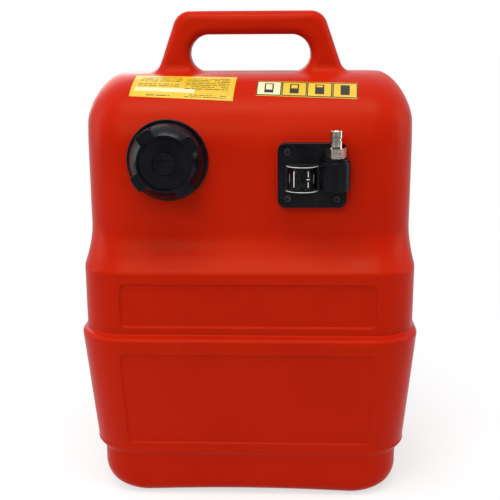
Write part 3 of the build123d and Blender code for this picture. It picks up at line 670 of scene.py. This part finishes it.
foamFinish = {
    "deep": (0.035, 0.031, 0.027), "bright": (0.070, 0.062, 0.052), "roughness": 0.8, "specular": 0.25,
    "cellScale": 900.0, "stain": (60.0, 3.0, 0.6), "bump": 0.00015,
}
drumFinish = {
    "deep": (0.0012, 0.0012, 0.0018), "bright": (0.0030, 0.0030, 0.0036), "markColour": (0.90, 0.90, 0.88),
    "roughness": 0.6, "specular": 0.1,
    "peelScale": 1600.0, "mottleScale": 120.0, "scuffs": 0.4, "bump": 0.000001,
    "axis": (0.0535, -0.098), "radius": 13.0, "middle": 0.3355, "inkRange": (0.2, 0.5, 0.8, 1.0),
    # centre and size of each mark: arc length from the front and height from the middle, in millimetres
    "marks": (((-8.6, 0.0), (0.9, 15.5)), ((5.8, 5.2), (0.8, 5.4)), ((5.8, -5.2), (0.8, 5.4)),
              ((5.8, 0.0), (3.4, 0.9)), ((-15.8, 0.0), (0.6, 9.0)), ((13.0, 0.0), (0.6, 9.0))),
}
labelFinish = {
    "deep": (0.70, 0.47, 0.030), "bright": (0.64, 0.41, 0.024), "pale": (0.74, 0.68, 0.44),
    "ink": (0.022, 0.018, 0.014), "fadedInk": 0.4, "roughness": 0.34, "specular": 0.3,
    "peelScale": 900.0, "mottleScale": 70.0, "scuffs": 1.0, "bump": 0.00003,
}
# label layouts are in shares of the label's width and height, from its lower left corner
ruledLabelLayout = {
    # centre, size and number of rules of each block
    "blocks": (((0.27, 0.78), (0.40, 0.28), 4), ((0.73, 0.62), (0.42, 0.56), 7),
               ((0.26, 0.50), (0.40, 0.16), 2), ((0.27, 0.10), (0.24, 0.08), 1),
               ((0.73, 0.12), (0.40, 0.12), 2)),
    "ruleShare": 0.40, "dashes": 42.0, "rowShift": 7.3, "gapShare": 0.42, "inkStrength": 0.85,
    "strip": ((0.33, 0.28), (0.58, 0.15)), "paleStrength": 0.85,
}
levelLabelLayout = {
    "cells": 4.0, "frame": (0.985, 0.94), "inside": (0.90, 0.83), "bar": (0.36, 0.62),
    "barInside": (0.25, 0.50), "paleStrength": 0.9,
}
materialTable = (
    # how it is made, its name and values, and the nodes that wear it as they are
    (mouldedPlastic, "redPolyethylene", tankFinish, ()),
    (mouldedPlastic, "frostedLensEdge", lensHighlightFinish, ()),
    (mouldedPlastic, "blackCapPlastic", capFinish, ("cap_shell", "vent_knob")),
    (mouldedPlastic, "blackSenderPlastic", senderFinish, ("gauge_body",)),
    (mouldedPlastic, "blackRubber", rubberFinish,
     ("cap_gasket", "vent_o_ring", "sender_gasket", "screw_washers", "lens_gasket", "nipple_washer")),
    (mouldedPlastic, "naturalNylon", nylonFinish, ("cap_liner", "pickup_tube", "pickup_strainer")),
    (turnedPiece, "nickelPlatedBrass", platedFinish, ("outlet_nipple",)),
    (turnedPiece, "turnedBrass", brassFinish, ("threaded_inserts", "check_poppet", "spring_retainer")),
    (turnedPiece, "stainlessSteel", steelFinish,
     ("vent_clip", "drum_axle", "float_arm", "float_push_nut", "check_spring")),
    (turnedPiece, "blackZincSteel", blackSteelFinish, ("sender_screws",)),
    (clearPlastic, "clearLensPlastic", lensFinish, ("gauge_lens",)),
    (softFoam, "closedCellFoam", foamFinish, ("float",)),
    (drumPlastic, "markedDrumPlastic", drumFinish, ("gauge_drum",)),
)
made = {}
for makeMaterial, finishName, finishValues, nodeNames in materialTable:
    made[finishName] = makeMaterial(finishName, finishValues)
    for nodeName in nodeNames:
        nodes[nodeName].data.materials.clear()
        nodes[nodeName].data.materials.append(made[finishName])
print("materials ready")


# tank body
tankShape = {
    # half width, front, back and corner of the plan outline of each part
    "footPlan": (155.0, 113.0, 113.0, 34.0),
    "basePlan": (163.5, 115.0, 115.0, 47.0),
    "ridgePlan": (173.5, 126.0, 126.0, 47.0),
    "beltPlan": (169.5, 117.0, 117.0, 44.0),
    "facePlan": (166.0, 92.0, 117.0, 47.0),
    "footTop": 47.0, "footSideRound": 28.0, "footEdgeRound": 13.0,
    "footBead": (4.5, 1.6, 0.5),                 # height over the step, breadth and depth
    "footArch": (3.0, 118.0, 34.0, 1.2, 1.5),    # rise, half width, height, and how it fades in both
    "ridge": 172.5, "lip": 5.0, "crease": 1.6, "ledge": 240.0, "ledgeEdge": 5.0, "face": 281.0,
    "crown": 360.0, "crownRise": 72.0, "crownReach": 84.0, "crownCorner": 18.0,
    "shoulderReach": 29.0, "shoulderRise": 46.0, "shoulderFullness": 1.6,   # 2 is an ellipse, 1 a flat bevel
    "panelDepth": 2.3, "panelEdge": 0.9, "panelCorner": 6.0,
    "lowerPanel": (60.0, 159.5, 124.0, 129.0),   # bottom, top, half width at the bottom and the top
    "upperPanel": (186.5, 230.5, 128.0, 128.0),
}
crest = tankShape["crown"] + tankShape["crownRise"]


def shoulderLoss(climb, shape=tankShape):
    # how far the shoulder curve has drawn in, for a share of its rise: a superellipse
    full = shape["shoulderFullness"]
    return 1 - np.maximum(1 - np.clip(climb, 0, 1) ** full, 0) ** (1 / full)


def crownTop(x, y, shape=tankShape):
    # height of the crown over a point near the crest, from the front and back quarter ellipses
    halfWidth, front, back, _ = shape["facePlan"]
    reach = shape["crownReach"]
    ahead = np.maximum(-y - (front - reach), 0)
    behind = np.maximum(y - (back - reach), 0)
    share = np.clip(np.maximum(ahead, behind) / reach, 0, 1)
    overDepth = shape["crown"] + shape["crownRise"] * np.sqrt(1 - share**2)
    out = np.clip((np.abs(x) - halfWidth + shape["shoulderReach"]) / shape["shoulderReach"], 0, 1)
    return np.minimum(overDepth, crest - shape["shoulderRise"] * shoulderLoss(out, shape))


def flare(height, radius):
    # how far a quarter circle still has to go, out or in, at a height over where it starts
    under = np.clip(radius - height, 0, radius)
    return radius - np.sqrt(radius**2 - under**2)


def panelRows(bottom, top, reach, gap, steps):
    # heights up a panel, close together where it starts and ends
    return spans(
        (bottom - reach + 0.6, bottom + reach, 9), (bottom + reach + gap, top - reach - gap, steps),
        (top - reach, top + reach - 0.6, 9),
    )


def bodyRows(shape):
    # height, half width, front, back and corner of each plan outline, from the floor to the crest
    foot, base, ridge, belt, face = (
        np.array(shape[part + "Plan"])[:, None] for part in ("foot", "base", "ridge", "belt", "face")
    )
    rows = []

    def addRows(z, plan):
        rows.append(np.vstack([z, plan + 0 * z]))

    def blend(low, high, share):
        return low + (high - low) * share

    # foot, rounded up from the floor
    edge = shape["footEdgeRound"]
    z = np.concatenate([edge * (1 - np.cos(np.linspace(0, 1.3, 10))), spans((10.5, 30, 8), (33, 44, 4))])
    sideLoss, depthLoss = flare(z, shape["footSideRound"]), flare(z, edge)
    addRows(z, foot - np.stack([sideLoss, depthLoss, depthLoss, 0 * z]))

    # foot step: the lower box stands out over the foot, with both edges rounded
    z = shape["footTop"] + np.array([-2.2, -1.5, -1.0, -0.6, -0.3, 0.0, 0.3, 0.7, 1.2, 1.9, 2.8])
    lean = (z - shape["footTop"]) / (shape["ridge"] - shape["footTop"])
    out = smoothStep((z - z[0]) / (z[-1] - z[0]))
    addRows(z, blend(foot, blend(base, ridge, lean), out))

    # lower box, with its panel and a bead over the step
    bottom, top = shape["lowerPanel"][:2]
    reach = 2 * shape["panelEdge"]
    z = np.concatenate([
        np.linspace(shape["footTop"] + 3.4, bottom - reach, 9), panelRows(bottom, top, reach, 5, 17),
        np.linspace(top + reach, shape["ridge"], 6),
    ])
    lean = (z - shape["footTop"]) / (shape["ridge"] - shape["footTop"])
    beadRise, beadBreadth, beadDepth = shape["footBead"]
    bead = beadDepth * np.exp(-(((z - shape["footTop"] - beadRise) / beadBreadth) ** 2))
    addRows(z, blend(base, ridge, lean) + np.stack([bead, bead, bead, 0 * z]))

    # ridge lip: quarter ellipse in to the belt, then a small fillet up the belt wall
    turn = np.radians(np.array([8, 16, 24, 32, 40, 48, 55, 61, 66, 70.0]))
    addRows(shape["ridge"] + shape["lip"] * np.sin(turn), blend(ridge, belt, 1 - np.cos(turn)))
    beltFoot = shape["ridge"] + shape["lip"] + shape["crease"]
    start, goal = rows[-1][:, -1:], np.vstack([[beltFoot], belt])
    t = np.linspace(0.15, 1, 8)
    fillet = blend(start, goal, np.sin(t * np.pi / 2))
    fillet[0] = blend(start[0], goal[0], 0.35 * t + 0.65 * (1 - np.cos(t * np.pi / 2)))
    rows.append(fillet)

    # belt, with the upper panel
    bottom, top = shape["upperPanel"][:2]
    addRows(np.concatenate([
        np.linspace(beltFoot + 0.9, bottom - reach, 4), panelRows(bottom, top, reach, 4, 8),
        np.linspace(top + reach, shape["ledge"], 4),
    ]), belt)

    # ledge: a rounded edge, two parabolas joined, then a hollow that eases off into the upper face
    total, edge = shape["face"] - shape["ledge"], shape["ledgeEdge"]
    rise = np.concatenate([np.linspace(0, edge, 9)[1:], np.linspace(edge, total, 25)[1:]])
    left = total - rise
    share = np.where(rise < edge, rise**2 / (edge * total), 1 - left**2 / (total * (total - edge)))
    addRows(shape["ledge"] + rise, blend(belt, face, share))
    addRows(np.linspace(shape["face"], shape["crown"], 13)[1:-1], face)

    # crown: quarter ellipses to the front and back, and the shoulder curve to both sides
    turn = np.radians(spans((0, 70, 30), (71.5, 90, 16)))
    z = shape["crown"] + shape["crownRise"] * np.sin(turn)
    climb = (z - crest + shape["shoulderRise"]) / shape["shoulderRise"]
    depthLoss = shape["crownReach"] * (1 - np.cos(turn))
    cornerLoss = (face[3] - shape["crownCorner"]) * (1 - np.cos(turn))
    sideLoss = shape["shoulderReach"] * shoulderLoss(climb, shape)
    addRows(z, face - np.stack([sideLoss, depthLoss, depthLoss, cornerLoss]))
    return np.concatenate(rows, 1)


def shrinkRows(row, steps):
    # flat rows that draw one outline in to a straight line, to close the top or the bottom
    z, halfWidth, front, back, corner = row
    inset = np.linspace(0, 1, steps)[1:] * (front + back) / 2
    return np.stack([
        np.full(steps - 1, z), halfWidth - inset, front - inset, back - inset, np.maximum(corner - inset, 0),
    ])


def panelMask(x, z, panel, shape):
    # 1 inside a rounded panel and 0 outside, smooth over its edge, from the signed distance to it
    bottom, top, lowHalf, highHalf = panel
    half = lowHalf + (highHalf - lowHalf) * (z - bottom) / (top - bottom)
    corner = shape["panelCorner"]
    dx = np.abs(x) - (half - corner)
    dz = np.abs(z - (bottom + top) / 2) - ((top - bottom) / 2 - corner)
    outside = np.hypot(np.maximum(dx, 0), np.maximum(dz, 0)) + np.minimum(np.maximum(dx, dz), 0) - corner
    return smoothStep(0.5 - outside / (2 * shape["panelEdge"]))


def makeTankBody(shape):
    # columns closer together where the panels end and where the corners start
    sideX = spans((-1, -0.925, 14), (-0.9, 0.9, 27), (0.925, 1, 14))
    cornerSteps = spans((0, 0.12, 13), (0.16, 0.84, 15), (0.88, 1, 13))
    columns = ringColumns(sideX, np.linspace(-1, 1, 15), cornerSteps)
    rows = bodyRows(shape)
    bottom = shrinkRows(rows[:, 0], 9)[:, ::-1]
    top = shrinkRows(rows[:, -1], 7)
    z, halfWidth, front, back, corner = np.concatenate([bottom, rows, top], 1)
    x, y = roundedRing(columns, halfWidth, front, back, corner)
    height = acrossColumns(z, x.shape[1])
    ahead = y < 0
    for panel in ("lowerPanel", "upperPanel"):
        y = y + shape["panelDepth"] * panelMask(x, height, shape[panel], shape) * ahead
    # the floor of the foot is drawn up a little between its corners
    archRise, archHalf, archHeight, fadeAcross, fadeUp = shape["footArch"]
    arch = np.clip(1 - (x / archHalf) ** 2, 0, 1) ** fadeAcross
    arch = arch * np.clip(1 - height / archHeight, 0, 1) ** fadeUp
    points = np.stack([x, y, height + archRise * arch], -1)
    tank = addSurface("tankBody", points, smoothAngle=60)
    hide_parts("tank_shell")
    return tank


makeTankBody(tankShape)
print("tank body made")


# handle
handleShape = {
    "height": 63.0, "halfDepth": 16.5, "grip": 24.0, "topHalf": 75.6, "footHalf": 98.3,
    "topRound": 18.0, "footRound": 10.0, "edgeRound": 11.0, "openingHalf": 63.0, "openingRound": 20.0,
    "sink": 1.5, "gripSteps": 15,
}


def handleContours(shape):
    # inner and outer edge of the right half in x and z, from the top of the foot to mid grip
    top = crest + shape["height"]
    inRound, outRound = shape["openingRound"], shape["topRound"]
    under = top - shape["grip"]
    lean = math.atan2(shape["footHalf"] - shape["topHalf"], top - crest + 1)
    turn = math.pi / 2 - lean

    def gripLine(x, z):
        return np.stack([np.linspace(x, 0, shape["gripSteps"]), np.full(shape["gripSteps"], z)], 1)

    centreX = shape["openingHalf"] - inRound
    bend = np.radians(np.concatenate([np.linspace(0, 58, 14)[:-1], np.linspace(58, 90, 12)[:-1]]))
    inner = np.stack([centreX + inRound * np.cos(bend), under - inRound + inRound * np.sin(bend)], 1)
    # outer edge: leaning leg, rounded shoulder, then the grip's top
    along = outRound * math.tan(turn / 2)
    legEnd = np.array([shape["topHalf"] + along * math.sin(lean), top - along * math.cos(lean)])
    legStart = np.array([shape["footHalf"] - (under - inRound - crest + 1) * math.tan(lean), under - inRound])
    leg = legStart + (legEnd - legStart) * np.linspace(0, 1, 14)[:-1, None]
    roundCentre = np.array([shape["topHalf"] - along, top - outRound])
    swing = lean + turn * np.linspace(0, 1, 12)[:-1]
    corner = roundCentre + outRound * np.stack([np.cos(swing), np.sin(swing)], 1)
    outer = np.concatenate([leg, corner, gripLine(roundCentre[0], top)])
    return np.concatenate([inner, gripLine(centreX, under)]), outer, lean


def makeHandle(shape):
    columns = ringColumns(np.linspace(-1, 1, 9), np.linspace(-1, 1, 7), np.linspace(0, 1, 13))
    inner, outer, lean = handleContours(shape)
    # the section is a rounded rectangle laid between the two edges
    half = np.hypot(*(outer - inner).T) / 2
    deepHalf = np.full_like(half, shape["halfDepth"])
    across, deep = roundedRing(columns, half, deepHalf, deepHalf, shape["edgeRound"])
    middle, unit = (inner + outer) / 2, (outer - inner) / (2 * half[:, None])
    x, z = (middle[:, [axis]] + unit[:, [axis]] * across for axis in (0, 1))
    upper = np.stack([x, deep, z], -1)
    # foot: the section spreads on all sides as it comes down on the crown
    inRound, footRound = shape["openingRound"], shape["footRound"]
    above = inRound * (1 - np.sin(np.radians(np.linspace(90, 2, 26))))
    above = np.concatenate([[-shape["sink"]], above])
    inX = shape["openingHalf"] - flare(above, inRound)
    spread = flare(above, footRound)
    outX = outer[0, 0] + (inRound - above) * math.tan(lean) + spread
    centre, half = (inX + outX) / 2, (outX - inX) / 2
    deepHalf = shape["halfDepth"] + spread
    corner = shape["edgeRound"] + spread
    x, y = roundedRing(columns, half, deepHalf, deepHalf, corner)
    x = x + centre[:, None]
    z = crownTop(x, y) + above[:, None]
    settle = smoothStep(above / inRound)[:, None]
    z = z + (inner[0, 1] - inRound - z + above[:, None]) * settle
    lower = np.stack([x, y, z], -1)
    closing = lower[:1] * 0 + lower[:1].mean(1, keepdims=True)
    rightHalf = np.concatenate([closing, lower, upper])
    leftHalf = rightHalf[::-1][1:] * np.array([-1, 1, 1])
    points = np.concatenate([rightHalf, leftHalf])
    return addSurface("carryHandle", points, smoothAngle=60)


makeHandle(handleShape)
print("handle made")


# raised seats and pads, and the filler neck
padShapes = {
    # centre, half sizes, corner, then how far in front of or behind the handle's plane it starts and ends
    "fillerSeat": {"centre": (-79.0, 352.0), "half": (36.0, 36.0), "corner": 36.0, "from": -70.0, "to": -92.6,
                   "edge": 0.5, "flare": 0.0},
    "senderPad": {"centre": (63.5, 337.5), "half": (35.0, 33.0), "corner": 9.0, "from": -88.5, "to": -92.5,
                  "edge": 0.4, "flare": 0.0, "throat": (29.1, 17.1, 8.0)},
}
for padSide, padX in (("Left", -98.0), ("Right", 98.0)):
    padShapes["backPad" + padSide] = {
        "centre": (padX, 275.0), "half": (32.0, 32.0), "corner": 12.0, "from": 117.0, "to": 126.0,
        "edge": 3.0, "flare": 2.5,
    }
padSink = 2.0
neckShape = {
    "centre": (-79.0, 352.0), "seat": -92.6, "height": 17.5, "radius": 27.0, "bore": 23.0, "rimRound": 0.6,
    "pitch": 5.0, "threadDepth": 2.0, "threadHalfWidth": 0.9, "threadStart": 4.5, "turns": 2.0,
    "threadFade": 0.06, "floor": 0.4, "sink": 4.0,
}


def makePad(name, shape):
    side = np.linspace(-1, 1, 7)
    columns = ringColumns(side, side, np.linspace(0, 1, 17))
    edge, spread = shape["edge"], shape["flare"]
    height = abs(shape["to"] - shape["from"])
    turn = np.radians(np.linspace(0, 90, 7))
    # inset from the outline and rise above the start, up the flare, the wall and the rounded rim
    inset = np.concatenate([[-spread], -spread * (1 - np.sin(turn)), edge * (1 - np.cos(turn))])
    rise = np.concatenate([[-padSink], spread * (1 - np.cos(turn)), height - edge + edge * np.sin(turn)])
    halfX, halfZ = shape["half"]
    if "throat" in shape:
        # a ring round an open throat: in over the top, down the throat and out again underneath
        sizes = np.stack([halfX - inset, halfZ - inset, np.maximum(shape["corner"] - inset, 0)])
        throat = np.array([shape["throat"], shape["throat"]]).T
        sizes = np.concatenate([sizes, throat, sizes[:, :1]], 1)
        rise = np.concatenate([rise, [height, -padSink, -padSink]])
    else:
        # closed with flat rows drawn in to the middle, underneath and over the top
        draw = np.linspace(0, 1, 6)[1:]
        inner = min(halfX, halfZ)
        under, over = (inner - (inner + spread) * draw)[::-1], edge + (inner - edge) * draw
        inset = np.concatenate([under, inset, over])
        rise = np.concatenate([0 * draw - padSink, rise, 0 * draw + height])
        sizes = np.stack([halfX - inset, halfZ - inset, np.maximum(shape["corner"] - inset, 0)])
    x, z = roundedRing(columns, sizes[0], sizes[1], sizes[1], sizes[2])
    sign = 1 if shape["to"] > shape["from"] else -1
    y = acrossColumns(shape["from"] + sign * rise, x.shape[1])
    points = np.stack([x + shape["centre"][0], y, z + shape["centre"][1]], -1)
    return addSurface(name, points)


def makeNeck(shape):
    # outer wall with a right-hand thread, rounded rim, bore and a floor
    turn = ringAngles(144)
    wallHeight = np.linspace(0, shape["height"] - shape["rimRound"], 70)
    # the thread's ridge follows a helix: distance from it along the axis, for the nearest turn
    share = turn / (2 * np.pi)
    along = (wallHeight[:, None] - shape["threadStart"]) / shape["pitch"] - share
    nearest = np.clip(np.round(along), 0, shape["turns"] - 1)
    miss = np.abs(along - nearest) * shape["pitch"]
    ridge = smoothStep(1.5 - miss / shape["threadHalfWidth"])
    travelled = nearest + share
    ends = (smoothStep(part / shape["threadFade"]) for part in (travelled, shape["turns"] - travelled))
    wall = shape["radius"] + shape["threadDepth"] * ridge * math.prod(ends)
    bend = np.radians(np.linspace(0, 90, 5))[1:]
    offCos, offSin = (shape["rimRound"] * (1 - part) for part in (np.cos(bend), np.sin(bend)))
    top, sink, floor = shape["height"], shape["sink"], shape["floor"]
    outer, bore = shape["radius"], shape["bore"]
    inward = np.concatenate([outer - offCos, bore + offSin, [bore, 0]])
    under, inward = (acrossColumns(part, len(turn)) for part in ([0, outer], inward))
    radius = np.concatenate([under, wall, inward])
    height = np.concatenate([[-sink, -sink], wallHeight, top - offSin, top - offCos, [floor, floor]])
    y = acrossColumns(shape["seat"] - height, len(turn))
    centreX, centreZ = shape["centre"]
    points = np.stack([centreX + radius * np.cos(turn), y, centreZ + radius * np.sin(turn)], -1)
    return addSurface("fillerNeck", points)


for padName, padValues in padShapes.items():
    makePad(padName, padValues)
makeNeck(neckShape)
print("pads and neck made")


# check valve spring, built at one length; nothing here shortens it as the poppet is pushed in, and travel is
# not used
springShape = {"wire": 0.35, "turns": 5.0, "travel": 3.0, "steps": 240, "ringSteps": 8}


def makeSpring(shape):
    low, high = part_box("check_spring")
    middle = (np.array(low) + np.array(high)) / 2 / mm
    wire = shape["wire"]
    radius = (high[0] - low[0]) / 2 / mm - wire
    bottom, top = low[2] / mm + wire, high[2] / mm - wire
    # tube round a helix: centre line, then a ring square to it, drawn in at both ends
    share = np.linspace(0, 1, shape["steps"])
    turn = share * shape["turns"] * 2 * np.pi
    pitch = (top - bottom) / (shape["turns"] * 2 * np.pi)
    out = np.stack([np.cos(turn), np.sin(turn), 0 * turn], -1)
    ahead = np.stack([-np.sin(turn) * radius, np.cos(turn) * radius, np.full_like(turn, pitch)], -1)
    side = np.cross(ahead / np.linalg.norm(ahead, axis=1, keepdims=True), out)
    rise = bottom + (top - bottom) * share
    line = out * radius + np.stack([middle[0] + 0 * turn, middle[1] + 0 * turn, rise], -1)
    ring = ringAngles(shape["ringSteps"])[None, :, None]
    thick = np.full(shape["steps"], wire)
    thick[[0, -1]] = 0
    around = np.cos(ring) * out[:, None] + np.sin(ring) * side[:, None]
    points = line[:, None] + thick[:, None, None] * around
    spring = addSurface("valveSpring", points, "stainlessSteel")
    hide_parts("check_spring")
    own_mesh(spring)


makeSpring(springShape)
print("valve spring made")


# pale beads along the gauge window's top and bottom edges, a painted highlight standing in for the glints on
# its rounded edges
lensEdgeShape = {
    "axis": (53.5, -98.0), "radius": 16.25, "bead": 0.33, "heights": (347.6, 323.4), "sweep": 76.0,
    "steps": 61, "ringSteps": 12,
}


def makeLensEdge(name, height, shape):
    # a pale bead swept round the window's curved edge, drawn in to a point at both ends: a painted highlight
    # along that edge
    along = np.linspace(-1, 1, shape["steps"])
    turn = np.radians(shape["sweep"] * along)
    bead = shape["bead"] * np.sqrt(np.clip(1 - along**16, 0, 1))
    ring = ringAngles(shape["ringSteps"])
    out = shape["radius"] + bead[:, None] * np.cos(ring)
    points = np.stack([
        shape["axis"][0] + out * np.sin(turn)[:, None], shape["axis"][1] - out * np.cos(turn)[:, None],
        height + bead[:, None] * np.sin(ring) + 0 * out], -1)
    return addSurface(name, points, "frostedLensEdge")


for edgeName, edgeHeight in zip(("lensEdgeTop", "lensEdgeLow"), lensEdgeShape["heights"]):
    makeLensEdge(edgeName, edgeHeight, lensEdgeShape)
print("gauge window edges made")


# labels
labelShapes = {
    # centre in x and in arc length up the crown from its start, size, turn in degrees
    "ruledLabel": {"centre": (-66.1, 78.3), "size": (104.8, 43.3), "turn": -3.8,
                   "film": ("ruledLabelFilm", ruledPrint, ruledLabelLayout)},
    "levelLabel": {"centre": (58.5, 71.0), "size": (101.3, 25.7), "turn": -3.1,
                   "film": ("levelLabelFilm", levelPrint, levelLabelLayout)},
}
labelLift = 0.25    # over the crown
labelTuck = 0.3     # border row, under the crown


def crownArc(shape=tankShape):
    # arc length up the front quarter ellipse of the crown, and its point and outward direction in y and z
    turn = np.linspace(0, np.pi / 2, 2000)
    y = -(shape["facePlan"][1] - shape["crownReach"] * (1 - np.cos(turn)))
    z = shape["crown"] + shape["crownRise"] * np.sin(turn)
    length = np.concatenate([[0], np.cumsum(np.hypot(np.diff(y), np.diff(z)))])
    outY, outZ = -np.cos(turn) * shape["crownRise"], np.sin(turn) * shape["crownReach"]
    size = np.hypot(outY, outZ)
    return length, y, z, outY / size, outZ / size


def makeLabel(name, shape):
    # a film laid on the crown: a grid bent over the ellipse, its border row tucked into the surface
    width, height = shape["size"]
    u = spans((0, 0.002, 2), (0.01, 0.99, 51), (0.998, 1, 2))
    v = spans((0, 0.005, 2), (0.02, 0.98, 27), (0.995, 1, 2))
    acrossGrid, upGrid = np.meshgrid(u, v)
    x, s = (acrossGrid - 0.5) * width, (upGrid - 0.5) * height
    angle = math.radians(shape["turn"])
    flatX = shape["centre"][0] + x * math.cos(angle) - s * math.sin(angle)
    flatS = shape["centre"][1] + x * math.sin(angle) + s * math.cos(angle)
    length, *parts = crownArc()
    y, z, outY, outZ = (np.interp(flatS, length, part) for part in parts)
    lift = np.full_like(x, -labelTuck)
    lift[1:-1, 1:-1] = labelLift
    points = np.stack([flatX, y + lift * outY, z + lift * outZ], -1)
    film = shape["film"][0]
    made[film] = labelFilm(*shape["film"], labelFinish)
    flatMap = np.stack([acrossGrid, upGrid], -1)
    return addSurface(name, points, film, wrap=False, uv=flatMap, closed=False)


for labelName, labelValues in labelShapes.items():
    makeLabel(labelName, labelValues)
print("labels made")
